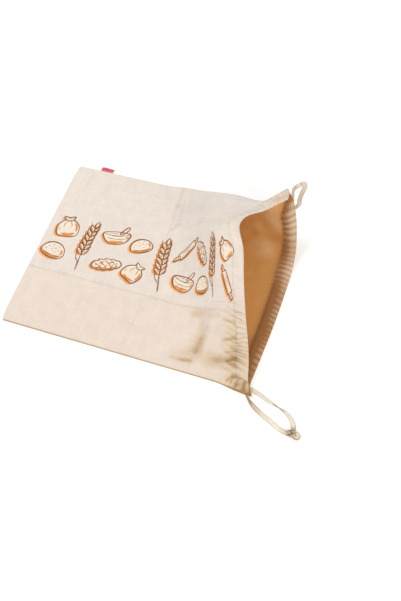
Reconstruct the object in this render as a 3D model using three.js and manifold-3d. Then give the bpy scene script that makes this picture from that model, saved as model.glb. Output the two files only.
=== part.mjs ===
// A linen bread bag with a drawstring mouth. It lies on its back with the mouth standing open.
// Millimetres, +Z up. The bag's own frame has the near closed corner at its origin: +X runs from the
// closed end to the mouth, +Y from the near side seam to the far one. The last lines centre it.

import * as THREE from 'three';
import { mergeVertices } from 'three/addons/utils/BufferGeometryUtils.js';
import Module from 'manifold-3d';

// The cut
const bagWidth = 300;
const mouthFlare = 8;
const closedTaper = 4;
const bagLength = 366;
const pieceGap = 0.4;
const clothThickness = 1.2;
const piecedSeam = 0.324;
const foldLine = 182;
const foldHeight = 1.1;
const foldHalfWidth = 4;
const foldFade = 0.3;
const foldLift = 3;
const foldLiftReach = 25;
const foldLiftSide = 3;
const frontPuff = 1.2;
const puffStart = 60;
const cornerRound = 3;
const cornerReach = 9;
const cornerSharpness = 16;
const steadyRise = 0.45;

// The casing that the tape runs in, turned at the mouth
const casingDepth = 18;
const casingSwell = 2;
const casingEdge = 2.5;
const casingSeamTaper = 14;
const gatherPitch = 14;
const gatherReach = 16;

// Drawstring tape and the folded ribbon in the far side seam
const tapeWidth = 7.5;
const tapeThickness = 2.2;
const tapeSides = 8;
const tabWidth = 19;
const tabReach = 7.5;
const tabLayer = 0.8;
const tabBend = 1.12;
const tabRaise = 0.3;
const tabStart = 37;

// Front mouth edge, one row for each share of the width from the near seam: where the edge stands,
// where along the bag the cloth starts to rise towards it, how late in that stretch it rises and draws
// in, how far it billows, how far its side is tucked in towards the middle and how it gathers
const frontMouth = [
  { share: 0.0, x: 366, y: -6, z: 0, riseFrom: 318, late: 0, billow: 0, tuck: 0, gather: 0 },
  { share: 0.06, x: 362, y: 18, z: 9, riseFrom: 276, late: 0, billow: 0.5, tuck: 0, gather: 1.2 },
  { share: 0.16, x: 354, y: 46, z: 21, riseFrom: 248, late: 0, billow: 2, tuck: 0, gather: 2 },
  { share: 0.324, x: 336, y: 91, z: 40, riseFrom: 240, late: 0, billow: 1, tuck: 0, gather: 1.2 },
  { share: 0.46, x: 321, y: 131, z: 59, riseFrom: 218, late: 0, billow: 7, tuck: 0, gather: 0.2 },
  { share: 0.6, x: 308, y: 171, z: 75, riseFrom: 200, late: 0, billow: 11, tuck: 0, gather: 0 },
  { share: 0.71, x: 293, y: 206, z: 82, riseFrom: 188, late: 0, billow: 9, tuck: 2, gather: 0.4 },
  { share: 0.86, x: 314, y: 248, z: 74, riseFrom: 188, late: 0.4, billow: 4, tuck: 10, gather: 0.8 },
  { share: 1.0, x: 339, y: 294, z: 66, riseFrom: 150, late: 0.9, billow: 0, tuck: 25, gather: 0 },
];

// Back mouth edge: flat on the surface, then up to the far corner
const backMouth = [
  { share: 0.0, x: 366, y: -6, z: 0, riseFrom: 318, late: 0, billow: 0, tuck: 0, gather: 0 },
  { share: 0.16, x: 371, y: 52, z: 0, riseFrom: 310, late: 0, billow: 0, tuck: 0, gather: 0 },
  { share: 0.35, x: 375, y: 110, z: 0, riseFrom: 310, late: 0, billow: 0, tuck: 0, gather: 0 },
  { share: 0.52, x: 377, y: 165, z: 0, riseFrom: 312, late: 0, billow: 0, tuck: 0, gather: 0 },
  { share: 0.67, x: 377, y: 214, z: 4, riseFrom: 318, late: 0.3, billow: 0, tuck: 0, gather: 0.4 },
  { share: 0.78, x: 372, y: 247, z: 18, riseFrom: 296, late: 0.6, billow: 0, tuck: 4, gather: 1.4 },
  { share: 0.9, x: 359, y: 279, z: 47, riseFrom: 238, late: 1, billow: 0, tuck: 12, gather: 1.6 },
  { share: 1.0, x: 339, y: 294, z: 66, riseFrom: 150, late: 0.9, billow: 0, tuck: 25, gather: 0 },
];

// Soft folds of the front, one row each: a line on the cut cloth, its height and half width
const frontFolds = [
  { fromX: 262, fromY: 90, toX: 294, toY: 90, height: -3, spread: 8 },
  { fromX: 281, fromY: 76, toX: 288, toY: 34, height: -3, spread: 7 },
  { fromX: 252, fromY: 24, toX: 286, toY: 30, height: -2, spread: 7 },
  { fromX: 298, fromY: 24, toX: 344, toY: 34, height: -3, spread: 7 },
  { fromX: 300, fromY: 74, toX: 342, toY: 58, height: 2, spread: 6 },
  { fromX: 179, fromY: 214, toX: 200, toY: 238, height: 1.4, spread: 5 },
  { fromX: 236, fromY: 176, toX: 330, toY: 196, height: 3, spread: 9 },
  { fromX: 238, fromY: 232, toX: 330, toY: 214, height: -3, spread: 10 },
];

// Stations along the bag, close together only where the cloth bends
const frontStations = [
  0, 60, 120, 176, foldLine, 188, 208, 226, 240, 254, 268, 282, 296, 310, 323, 334, 342,
];
const backStations = [0, 120, 150, foldLine, 210, 232, 252, 270, 286, 300, 314, 327, 339];
const mouthStations = [
  bagLength - casingDepth - casingEdge,
  bagLength - casingDepth,
  bagLength - casingDepth + casingEdge,
  bagLength - casingDepth / 2,
  bagLength - casingEdge,
  bagLength,
];

// Middle lines of the tape in the bag's frame, from the casing outwards
const nearRouteA = [
  [366.7, -6.8, 2], [370, -10, 2.2], [375, -15, 2.4], [381, -19.5, 2.4], [387, -23, 2.4],
  [394, -27, 2.2], [401, -30, 2], [408, -33, 1.8], [414, -36, 1.8], [420, -39, 1.8], [427, -41.4, 2.2],
  [433.4, -42, 3],
];
const nearRouteB = [
  [367.7, 3.2, 2], [372, 2.6, 2], [377, 1.7, 2.2], [383, 0, 2.8], [390, -3, 3], [397, -6, 3],
  [404, -8, 2.8], [411, -10, 2.6], [418, -12, 2.6], [425, -15, 2.6], [431, -19, 2.6], [436, -25, 2.8],
  [439.2, -33.2, 3.4],
];
const farRoute = [
  [342.2, 292.8, 65.4], [345, 296.6, 68.6], [348.5, 300.5, 72.5], [351, 303, 76], [355, 305, 79.5],
  [360, 306.4, 82.4], [363.6, 304.4, 79.6], [364, 300, 74.5], [363, 295.5, 69], [361, 290, 62],
  [358.2, 283.4, 53.3],
];

// The tied knots: middle and size of each, and the small loop that the tape ends make beside it
const nearKnot = { x: 439.5, y: -39.5, z: 4.2, long: 12, wide: 11, high: 8 };
const nearKnotLoop = { x: 447.5, y: -40.5, z: 2.6, radius: 4, thick: 1.4 };
const farKnot = { x: 362.5, y: 310.7, z: 84.5, long: 7, wide: 8, high: 7 };

const linen = { color: 0xdfcfba, roughness: 0.9, metalness: 0 };
const linenShade = { color: 0xcdb795, roughness: 0.92, metalness: 0 };
const cottonTape = { color: 0xd8c9b2, roughness: 0.9, metalness: 0 };
const redRibbon = { color: 0xcd4655, roughness: 0.7, metalness: 0 };

const clamp01 = (value) => THREE.MathUtils.clamp(value, 0, 1);

// Up and down again between 0 and 1, 1 in the middle
const arch = (t) => 4 * t * (1 - t);

// One column of a table at a share of the width: a cubic through the rows, its slope at a row taken
// between the rows on either side
function read(rows, column, share) {
  const last = rows.length - 1;
  let low = 0;
  while (low < last - 1 && rows[low + 1].share < share) low += 1;
  const slope = (row) => {
    const before = rows[Math.max(0, row - 1)];
    const after = rows[Math.min(last, row + 1)];
    return (after[column] - before[column]) / (after.share - before.share);
  };
  const span = rows[low + 1].share - rows[low].share;
  const t = clamp01((share - rows[low].share) / span);
  const start = rows[low][column];
  const rest = rows[low + 1][column] - start;
  const bend = slope(low) * span * t * (1 - t) ** 2 - slope(low + 1) * span * t * t * (1 - t);
  return start + rest * t * t * (3 - 2 * t) + bend;
}

// Distance from a point of the cut cloth to a fold's line
function distanceTo(fold, x, y) {
  const from = new THREE.Vector2(fold.fromX, fold.fromY);
  const line = new THREE.Vector2(fold.toX, fold.toY).sub(from);
  const point = new THREE.Vector2(x, y).sub(from);
  const t = clamp01(point.dot(line) / line.lengthSq());
  return point.sub(line.multiplyScalar(t)).length();
}

// The cut is a little wider at the mouth than at the closed end
function widthAt(along) {
  return bagWidth - closedTaper + ((mouthFlare + closedTaper) * along) / bagLength;
}

// A place on a panel: flat cloth, drawn towards its mouth edge from where it starts to rise. The
// packing fold lifts it a little off the surface, most at the far side
function place(mouth, along, share) {
  const riseFrom = read(mouth, 'riseFrom', share);
  const t = clamp01((along - riseFrom) / (bagLength - riseFrom));
  const drawn = t * t * (3 - 2 * t);
  const late = read(mouth, 'late', share);
  const drawnIn = THREE.MathUtils.lerp(drawn, t ** 4, late);
  const steady = THREE.MathUtils.lerp(drawn, t, steadyRise);
  const raised = THREE.MathUtils.lerp(steady, t * t, late);
  const flatY = share * widthAt(along);
  const fromMouth = (1 - along / bagLength) ** cornerReach;
  const corner = cornerRound * fromMouth * Math.abs(2 * share - 1) ** cornerSharpness;
  const fromFold = (along - foldLine) / foldLiftReach;
  const lifted = foldLift * Math.exp(-fromFold * fromFold) * share ** foldLiftSide;
  const height = read(mouth, 'z', share) * raised + read(mouth, 'billow', share) * arch(t) + lifted;
  const tuck = read(mouth, 'tuck', share) * Math.sin(Math.PI * t ** 4);
  return new THREE.Vector3(
    along + corner + (read(mouth, 'x', share) - bagLength) * drawn,
    flatY + (read(mouth, 'y', share) - flatY) * drawnIn - tuck,
    Math.max(0, height),
  );
}

// Relief of a panel above that place: the front's puff, packing fold and soft folds, and the gathers
function relief(mouth, along, share) {
  const fromEdge = bagLength - along;
  const beyond = Math.max(0, fromEdge - casingDepth);
  const wave = 0.5 - 0.5 * Math.cos((2 * Math.PI * share * bagWidth) / gatherPitch);
  const gathers = read(mouth, 'gather', share) * wave * Math.exp(-beyond / gatherReach);
  if (mouth === backMouth) return Math.max(0, gathers);
  const acrossArch = Math.sin(Math.PI * share);
  const puff = frontPuff * acrossArch * clamp01(along / puffStart);
  const fold = foldHeight * Math.exp(-(((along - foldLine) / foldHalfWidth) ** 2)) * acrossArch ** foldFade;
  const soft = frontFolds.map(
    (row) => row.height * Math.exp(-((distanceTo(row, along, share * bagWidth) / row.spread) ** 2)),
  );
  return gathers + puff + fold + soft.reduce((sum, height) => sum + height, 0);
}

// The lifted place with its relief, kept from sinking below the flat cloth
function surface(mouth, along, share) {
  const point = place(mouth, along, share);
  point.z = clothThickness + pieceGap / 2 + Math.max(0, point.z + relief(mouth, along, share));
  return point;
}

function normalAt(mouth, along, share) {
  const step = 0.6;
  const before = surface(mouth, Math.max(0, along - step), share);
  const after = surface(mouth, Math.min(bagLength, along + step), share);
  const near = surface(mouth, along, Math.max(0, share - step / bagWidth));
  const far = surface(mouth, along, Math.min(1, share + step / bagWidth));
  return after.sub(before).cross(far.sub(near)).normalize();
}

// How far the casing swells at a distance from the mouth edge, thinner towards both side seams
function swell(along, share) {
  const fromEdge = bagLength - along;
  const across = Math.min(fromEdge / casingEdge, (casingDepth - fromEdge) / casingEdge);
  const toSeam = Math.min(share, 1 - share) * casingSeamTaper;
  return casingSwell * clamp01(across) * clamp01(toSeam);
}

// One panel between two shares of the width: a finely divided box laid on its surface
function panel(name, mouth, stations, fromShare, toShare, columns, material) {
  const rows = stations.length - 1;
  const box = new THREE.BoxGeometry(1, 1, 1, rows, columns, 1);
  const position = box.attributes.position;
  const side = mouth === frontMouth ? 1 : -1;
  for (let i = 0; i < position.count; i += 1) {
    const along = stations[Math.round((position.getX(i) + 0.5) * rows)];
    const column = Math.round((position.getY(i) + 0.5) * columns);
    const share = THREE.MathUtils.lerp(fromShare, toShare, column / columns);
    const outer = position.getZ(i) * side > 0;
    const swollen = swell(along, share);
    const lift = outer ? clothThickness + (side > 0 ? swollen : 0) : side < 0 ? -swollen : 0;
    const point = surface(mouth, along, share);
    point.addScaledVector(normalAt(mouth, along, share), side * (pieceGap / 2 + lift));
    position.setXYZ(i, point.x, point.y, Math.max(0, point.z));
  }
  box.computeVertexNormals();
  const mesh = new THREE.Mesh(box, new THREE.MeshStandardMaterial(material));
  mesh.name = name;
  return mesh;
}

// A flat tape along a route: an oval section of eight sides, whose flats touch the tape's own size
function tape(name, route) {
  const path = new THREE.CatmullRomCurve3(route.map((point) => new THREE.Vector3(...point)));
  const section = new THREE.Shape();
  const overFlats = 1 / Math.cos(Math.PI / tapeSides);
  for (let i = 0; i < tapeSides; i += 1) {
    const angle = (2 * Math.PI * (i + 0.5)) / tapeSides;
    const x = (tapeThickness / 2) * overFlats * Math.cos(angle);
    const y = (tapeWidth / 2) * overFlats * Math.sin(angle);
    if (i === 0) section.moveTo(x, y);
    else section.lineTo(x, y);
  }
  section.closePath();
  const steps = Math.max(8, Math.round(path.getLength() / tapeWidth));
  const geometry = new THREE.ExtrudeGeometry(section, { steps, extrudePath: path, bevelEnabled: false });
  const mesh = new THREE.Mesh(geometry, new THREE.MeshStandardMaterial(cottonTape));
  mesh.name = name;
  return mesh;
}

// The ribbon folded in half, its ends at the side seam
function sideTab() {
  const inner = tabBend - tabLayer;
  const root = widthAt(tabStart + tabWidth) + pieceGap;
  const crown = root + tabReach - tabBend;
  const middle = tabBend + tabRaise;
  const profile = new THREE.Shape();
  profile.moveTo(root, middle - tabBend);
  profile.lineTo(crown, middle - tabBend);
  profile.absarc(crown, middle, tabBend, -Math.PI / 2, Math.PI / 2, false);
  profile.lineTo(root, middle + tabBend);
  profile.lineTo(root, middle + inner);
  profile.lineTo(crown, middle + inner);
  profile.absarc(crown, middle, inner, Math.PI / 2, -Math.PI / 2, true);
  profile.lineTo(root, middle - inner);
  profile.closePath();
  const cut = { depth: tabWidth, bevelEnabled: false, curveSegments: 4 };
  const geometry = new THREE.ExtrudeGeometry(profile, cut);
  const mesh = new THREE.Mesh(geometry, new THREE.MeshStandardMaterial(redRibbon));
  mesh.name = 'side_tab';
  mesh.rotation.set(Math.PI / 2, Math.PI / 2, 0);
  mesh.position.set(tabStart, 0, 0);
  return mesh;
}

const wasm = await Module();
wasm.setup();

function toManifold(geometry) {
  const bare = geometry.clone();
  bare.deleteAttribute('normal');
  bare.deleteAttribute('uv');
  const merged = mergeVertices(bare, 1e-4);
  return new wasm.Manifold(new wasm.Mesh({
    numProp: 3,
    vertProperties: new Float32Array(merged.attributes.position.array),
    triVerts: new Uint32Array(merged.index.array),
  }));
}

// A tied knot: a ball, joined to the ring of its loop where it has one
function knot(name, tied, loop) {
  const ball = new THREE.SphereGeometry(0.5, 10, 7);
  ball.scale(tied.long, tied.wide, tied.high);
  ball.translate(tied.x, tied.y, tied.z);
  let solid = toManifold(ball);
  if (loop) {
    const turn = new THREE.TorusGeometry(loop.radius, loop.thick, 6, 12);
    turn.translate(loop.x, loop.y, loop.z);
    solid = solid.add(toManifold(turn));
  }
  const joined = solid.getMesh();
  const geometry = new THREE.BufferGeometry();
  geometry.setAttribute('position', new THREE.BufferAttribute(new Float32Array(joined.vertProperties), 3));
  geometry.setIndex(new THREE.BufferAttribute(new Uint32Array(joined.triVerts), 1));
  geometry.computeVertexNormals();
  const mesh = new THREE.Mesh(geometry, new THREE.MeshStandardMaterial(cottonTape));
  mesh.name = name;
  return mesh;
}

const seamHalf = pieceGap / 2 / bagWidth;
const frontRows = [...frontStations, ...mouthStations.slice(1)];
const backRows = [...backStations, ...mouthStations.slice(1)];
const clothParts = new THREE.Group();
clothParts.add(
  panel('back_panel', backMouth, backRows, 0, 1, 44, linenShade),
  panel('front_lower_panel', frontMouth, frontRows, 0, piecedSeam - seamHalf, 28, linen),
  panel('front_upper_panel', frontMouth, frontRows, piecedSeam + seamHalf, 1, 52, linen),
  sideTab(),
);
const cords = new THREE.Group();
cords.add(
  tape('near_tape_a', nearRouteA),
  tape('near_tape_b', nearRouteB),
  knot('near_knot', nearKnot, nearKnotLoop),
  tape('far_tape', farRoute),
  knot('far_knot', farKnot),
);

// The cloth's box stands centred on the origin
const bread_bag = new THREE.Group();
const centre = new THREE.Box3().setFromObject(clothParts).getCenter(new THREE.Vector3());
bread_bag.add(clothParts, cords);
bread_bag.position.set(-centre.x, -centre.y, 0);
bread_bag.updateMatrixWorld(true);

export default bread_bag;
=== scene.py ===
import math
import bpy
import numpy as np
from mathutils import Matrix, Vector


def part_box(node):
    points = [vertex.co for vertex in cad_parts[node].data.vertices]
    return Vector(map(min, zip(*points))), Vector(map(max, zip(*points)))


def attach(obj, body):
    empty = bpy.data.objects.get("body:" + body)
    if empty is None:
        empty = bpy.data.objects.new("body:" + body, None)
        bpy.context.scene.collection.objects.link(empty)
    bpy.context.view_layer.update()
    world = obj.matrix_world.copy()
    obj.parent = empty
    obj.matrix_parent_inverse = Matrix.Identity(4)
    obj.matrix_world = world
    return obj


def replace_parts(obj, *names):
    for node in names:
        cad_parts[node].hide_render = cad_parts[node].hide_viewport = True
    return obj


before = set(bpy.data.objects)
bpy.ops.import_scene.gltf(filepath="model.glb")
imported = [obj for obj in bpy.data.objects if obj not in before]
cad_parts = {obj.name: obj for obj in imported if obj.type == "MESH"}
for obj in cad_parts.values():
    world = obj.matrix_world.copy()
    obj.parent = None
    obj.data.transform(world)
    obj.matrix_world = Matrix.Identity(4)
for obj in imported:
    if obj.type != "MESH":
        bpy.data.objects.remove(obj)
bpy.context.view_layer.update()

# A drawstring linen bread bag, lying on its back with the mouth standing open.
# Sizes are millimetres in the bag's own frame, unless a name says otherwise: x runs from the closed
# end to the mouth, y from the near side seam to the far one, z up. toRow turns them into metres.

metre = 1000  # in millimetres
backReachesY = -6.0  # the back's lowest y in the bag's frame, at the near end of the mouth
bagOrigin = np.array(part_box("back_panel")[0]) - np.array([0, backReachesY / metre, 0])


def toRow(points):
    # from the bag's frame, in millimetres, to the shared one, in metres
    return np.asarray(points, float) / metre + bagOrigin


# Camera: its target in the bag's frame, distance in millimetres and angles in degrees
camera = {
    "target": (262.8, 116.7, 0),
    "distance": 1096.7,
    "elevation": 60.02,  # above the surface
    "azimuth": 17.66,  # from looking along +y, towards the mouth
    "lens": 45.2,  # on the usual 36 mm sensor, along the picture's long side
}


def makeCamera():
    data = bpy.data.cameras.new("camera")
    data.lens = camera["lens"]
    made = bpy.data.objects.new("camera", data)
    bpy.context.scene.collection.objects.link(made)
    azimuth, elevation = math.radians(camera["azimuth"]), math.radians(camera["elevation"])
    back = Vector((math.sin(azimuth) * math.cos(elevation),
                   -math.cos(azimuth) * math.cos(elevation), math.sin(elevation)))
    made.location = Vector(toRow(camera["target"])) + back * camera["distance"] / metre
    made.rotation_mode = "QUATERNION"
    made.rotation_quaternion = (-back).to_track_quat("-Z", "Y")
    bpy.context.scene.camera = made


makeCamera()
print("camera made")


# Helpers for meshes

def smoothstep(t):
    # eases from 0 to 1 with level ends: 3 t squared less 2 t cubed
    t = np.clip(t, 0, 1)
    return t * t * (3 - 2 * t)


def bell(away, half):
    # falls off on both sides: e to the power of minus the square of the distance over the half width
    return np.exp(-(away / half) ** 2)


def unit(vectors):
    return vectors / np.maximum(np.linalg.norm(vectors, axis=-1, keepdims=True), 1e-12)


def gridFaces(index):
    # one four-sided face between each two rows and each two columns of point numbers
    return np.stack([index[:-1, :-1], index[1:, :-1], index[1:, 1:], index[:-1, 1:]], -1).reshape(-1, 4)


def tubeFaces(rings, sides, closed=False):
    # faces round a tube made of rings of points, whose last ring meets its first if it is closed
    index = np.arange(rings * sides).reshape(rings, sides)
    if closed:
        index = np.vstack([index, index[:1]])
    return gridFaces(np.hstack([index, index[:, :1]]))


def carried(line, wide, thin, u, v):
    # a section carried along a line: at each place, u along the wide direction and v along the thin one
    return line[:, None] + wide[:, None] * u[None, :, None] + thin[:, None] * v[None, :, None]


def makePiece(name, points, faces, finishes, cut=None, faceMaterial=None, ink=None, paintedLight=None):
    # a mesh object from points in the bag's frame; cut is a flat place in metres for each point, and
    # the shade value of each point, from 0 to 1, is painted into its colour: painted shade on the cloth,
    # tapes and knots, and a painted highlight on the ribbon
    mesh = bpy.data.meshes.new(name)
    faces = np.asarray(faces, np.int32)
    mesh.vertices.add(len(points))
    mesh.vertices.foreach_set("co", toRow(points).astype(np.float32).ravel())
    mesh.loops.add(faces.size)
    mesh.loops.foreach_set("vertex_index", faces.ravel())
    mesh.polygons.add(len(faces))
    mesh.polygons.foreach_set("loop_start", np.arange(len(faces), dtype=np.int32) * faces.shape[1])
    mesh.polygons.foreach_set("use_smooth", np.ones(len(faces), bool))
    if faceMaterial is not None:
        mesh.polygons.foreach_set("material_index", np.asarray(faceMaterial, np.int32))
    for finish in finishes:
        mesh.materials.append(finish)
    if cut is not None:
        layer = mesh.uv_layers.new(name="cut")
        layer.data.foreach_set("uv", np.asarray(cut, np.float32)[faces.ravel()].ravel())
    if ink is not None:
        colours = mesh.color_attributes.new(name="ink", type="FLOAT_COLOR", domain="POINT")
        colours.data.foreach_set("color", np.asarray(ink, np.float32).ravel())
    if paintedLight is not None:
        mesh.attributes.new("paintedLight", "FLOAT", "POINT").data.foreach_set(
            "value", np.asarray(paintedLight, np.float32).ravel())
    mesh.update(calc_edges=True)
    made = bpy.data.objects.new(name, mesh)
    bpy.context.scene.collection.objects.link(made)
    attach(made, "root")
    return made


def stepsOf(line):
    # the length of each step from one point of a line to the next
    return np.linalg.norm(np.diff(line, axis=0), axis=1)


def lengthAlong(line):
    # how far along the line each of its points lies
    return np.concatenate([[0], np.cumsum(stepsOf(line))])


def evenly(line, count, closed=False):
    # the same line with its points placed afresh, evenly by length
    along = lengthAlong(line)
    at = np.linspace(0, along[-1], count, endpoint=not closed)
    return np.stack([np.interp(at, along, line[:, k]) for k in range(line.shape[1])], 1)


def curveThrough(points, samples, perStretch=24):
    # a smooth line through given points: on each stretch a cubic whose end slopes are half the
    # way between the points on either side, sampled evenly by length
    points = np.asarray(points, float)
    padded = np.vstack([2 * points[0] - points[1], points, 2 * points[-1] - points[-2]])
    t = np.linspace(0, 1, perStretch, endpoint=False)[None, :, None]
    a, b, c, d = (padded[i:len(padded) - 3 + i][:, None, :] for i in range(4))
    line = 0.5 * (2 * b + (c - a) * t + (2 * a - 5 * b + 4 * c - d) * t**2 + (3 * b - a - 3 * c + d) * t**3)
    return evenly(np.vstack([line.reshape(-1, points.shape[1]), points[-1]]), samples)


# Helpers for materials

def linearColour(hexColour):
    # an sRGB hex colour as linear red, green, blue and alpha
    parts = np.array([int(hexColour[i:i + 2], 16) for i in (1, 3, 5)]) / 255
    linear = np.where(parts <= 0.04045, parts / 12.92, ((parts + 0.055) / 1.055) ** 2.4)
    return (*linear.tolist(), 1.0)


def addNode(tree, kind, settings=None, links=None):
    # adds a node; a setting is a socket's value or else a property, and a link feeds a socket
    node = tree.nodes.new(kind)
    for key, value in (settings or {}).items():
        if isinstance(key, int) or key in node.inputs:
            node.inputs[key].default_value = value
        else:
            setattr(node, key, value)
    for key, source in (links or {}).items():
        tree.links.new(source, node.inputs[key])
    return node


waveBandsPerUnit = 20 / (2 * math.pi)  # Blender's Wave bands at scale 1


def newMaterial(name):
    # an empty material, its node tree, and the flat place of each point as it was cut
    material = bpy.data.materials.new(name)
    material.use_nodes = True
    tree = material.node_tree
    tree.nodes.clear()
    flat = addNode(tree, "ShaderNodeUVMap", {"uv_map": "cut"})
    return material, tree, flat.outputs["UV"]


def shadeWith(tree, height, depth, settings, links, strength=1.0):
    # what every finish ends with: a bump of a depth in millimetres, the shader and the output
    bump = addNode(tree, "ShaderNodeBump", {"Strength": strength, "Distance": depth / metre}, height)
    shader = addNode(tree, "ShaderNodeBsdfPrincipled", settings, {"Normal": bump.outputs["Normal"], **links})
    addNode(tree, "ShaderNodeOutputMaterial", None, {"Surface": shader.outputs["BSDF"]})


# Washed linen: flax spun a little uneven and woven plain, so it is matt, with thicker threads that
# show as faint lines both ways. Shade is painted into its colour: it is painted warmer and darker where
# it lies in a fold's shade. The weave is drawn 1.2 mm apart, twice its true pitch, so that it shows.
linen = {
    "threadPitch": 1.2,
    "threadDepth": 0.06,
    "slubLength": 42,
    "slubWidth": 1.9,
    "slubDepth": 0.1,
    "slubShade": 0.11,
    "mottleSize": 18,
    "mottleShade": 0.07,
    "roughness": 0.93,
    "sheen": 0.12,
    # tints from open cloth to the painted shade of its deepest folds, evenly apart
    "upper": ("#EADFD5", "#D2BB9C"),
    "lower": ("#EADDD1", "#DAC5A9", "#A5875A"),
    "outside": ("#E2D3BC", "#AD9064"),
    # painted shade: inside and casing are the same linen, painted darker and warmer all over as shade inside
    # the bag
    "inside": ("#EDCB9A", "#DEA25E", "#A06C3E"),
    "casing": ("#EBD6BA", "#A67343"),
}


def linenSurface(tree, flat, tintSocket):
    # colour and bump of plain-woven linen, from the cloth's own flat place
    long, thin = metre / linen["slubLength"], metre / linen["slubWidth"]
    slubs = []
    for scale in ((long, thin, 1), (thin, long, 1)):
        turned = addNode(tree, "ShaderNodeMapping", {"Scale": scale}, {"Vector": flat})
        slubs.append(addNode(tree, "ShaderNodeTexNoise", {"Scale": 1.0, "Detail": 3.0, "Roughness": 0.6},
                             {"Vector": turned.outputs["Vector"]}).outputs["Fac"])
    both = addNode(tree, "ShaderNodeMath", {"operation": "ADD"}, {0: slubs[0], 1: slubs[1]})
    mottle = addNode(tree, "ShaderNodeTexNoise",
                     {"Scale": metre / linen["mottleSize"], "Detail": 4.0, "Roughness": 0.55},
                     {"Vector": flat})
    slubShade = addNode(tree, "ShaderNodeMapRange",
                        {"From Min": 0.7, "From Max": 1.3, "To Min": 1 - linen["slubShade"], "To Max": 1.0},
                        {"Value": both.outputs[0]})
    mottleShade = addNode(tree, "ShaderNodeMapRange",
                          {"From Min": 0.3, "From Max": 0.7, "To Min": 1 - linen["mottleShade"],
                           "To Max": 1.0}, {"Value": mottle.outputs["Fac"]})
    shade = addNode(tree, "ShaderNodeMath", {"operation": "MULTIPLY"},
                    {0: slubShade.outputs[0], 1: mottleShade.outputs[0]})
    colour = addNode(tree, "ShaderNodeVectorMath", {"operation": "SCALE"},
                     {0: tintSocket, "Scale": shade.outputs[0]})
    threads = []
    for direction in ("X", "Y"):
        threads.append(addNode(tree, "ShaderNodeTexWave",
                               {"bands_direction": direction, "Distortion": 0.6, "Detail Scale": 2.0,
                                "Scale": metre / linen["threadPitch"] / waveBandsPerUnit},
                               {"Vector": flat}).outputs["Fac"])
    weave = addNode(tree, "ShaderNodeMath", {"operation": "MULTIPLY"}, {0: threads[0], 1: threads[1]})
    slubBump = addNode(tree, "ShaderNodeBump", {"Strength": 1.0, "Distance": linen["slubDepth"] / metre},
                       {"Height": both.outputs[0]})
    shadeWith(tree, {"Height": weave.outputs[0], "Normal": slubBump.outputs["Normal"]}, linen["threadDepth"],
              {"Roughness": linen["roughness"], "Sheen Weight": linen["sheen"], "Sheen Roughness": 0.5,
               "Specular IOR Level": 0.2}, {"Base Color": colour.outputs[0]})


def linenWithPaintedShade(name, tints):
    material, tree, flat = newMaterial(name)
    # painted shade: each point's painted shade picks its tint from the ramp, from open cloth to the shade of
    # its deepest folds
    paintedLight = addNode(tree, "ShaderNodeAttribute", {"attribute_name": "paintedLight"})
    tint = addNode(tree, "ShaderNodeValToRGB", None, {"Fac": paintedLight.outputs["Fac"]})
    stops = tint.color_ramp.elements
    while len(stops) < len(tints):
        stops.new(0.5)
    for stop, place, hexColour in zip(stops, np.linspace(0, 1, len(tints)).tolist(), tints):
        stop.position, stop.color = place, linearColour(hexColour)
    linenSurface(tree, flat, tint.outputs["Color"])
    return material


def printedLinen():
    # pigment ink screen-printed on linen: it colours the threads and leaves their weave to be seen
    material, tree, flat = newMaterial("screen_printed_linen")
    ink = addNode(tree, "ShaderNodeAttribute", {"attribute_name": "ink"})
    linenSurface(tree, flat, ink.outputs["Color"])
    return material


# Cotton twill tape: soft and matt, with fine slanting ribs, with painted shade that makes it darker along its
# edges and where it lies in shade, and in faint clouds where it is worn
tapeFinish = {
    "tint": "#F1E9DD",
    # the dark tint that both the worn clouds and the painted shade mix towards
    "wearAndPaintedShade": "#A48C68",
    "ribPitch": 1.0,
    "ribDepth": 0.1,
    "cloudSize": 7.7,
    "worn": 0.15,
    "roughness": 0.9,
}


def cottonTape():
    material, tree, flat = newMaterial("cotton_twill_tape")
    ribs = addNode(tree, "ShaderNodeTexWave",
                   {"bands_direction": "DIAGONAL", "Distortion": 1.0,
                    "Scale": metre / tapeFinish["ribPitch"] / waveBandsPerUnit}, {"Vector": flat})
    cloudy = addNode(tree, "ShaderNodeTexNoise", {"Scale": metre / tapeFinish["cloudSize"], "Detail": 3.0},
                     {"Vector": flat})
    worn = addNode(tree, "ShaderNodeMapRange", {"From Min": 0.35, "From Max": 0.7},
                   {"Value": cloudy.outputs["Fac"]})
    # painted shade: the point's painted shade, added to the worn clouds, darkens the tint
    paintedLight = addNode(tree, "ShaderNodeAttribute", {"attribute_name": "paintedLight"})
    wearAndPaintedShade = addNode(tree, "ShaderNodeMath",
                   {"operation": "MULTIPLY_ADD", 1: tapeFinish["worn"], "use_clamp": True},
                   {0: worn.outputs[0], 2: paintedLight.outputs["Fac"]})
    colour = addNode(tree, "ShaderNodeMix",
                     {"data_type": "RGBA", 6: linearColour(tapeFinish["tint"]),
                      7: linearColour(tapeFinish["wearAndPaintedShade"])}, {0: wearAndPaintedShade.outputs[0]})
    shadeWith(tree, {"Height": ribs.outputs["Fac"]}, tapeFinish["ribDepth"],
              {"Roughness": tapeFinish["roughness"], "Sheen Weight": 0.15, "Specular IOR Level": 0.2},
              {"Base Color": colour.outputs[2]})
    return material


# Satin ribbon: smooth, with a soft gloss that runs across its fine ribs, which are drawn coarser than they
# are so that they show. Its root is painted paler: a painted highlight.
ribbonFinish = {"tint": "#C93A4E", "edge": "#E88792", "ribPitch": 0.8, "ribDepth": 0.04, "roughness": 0.42}


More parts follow.
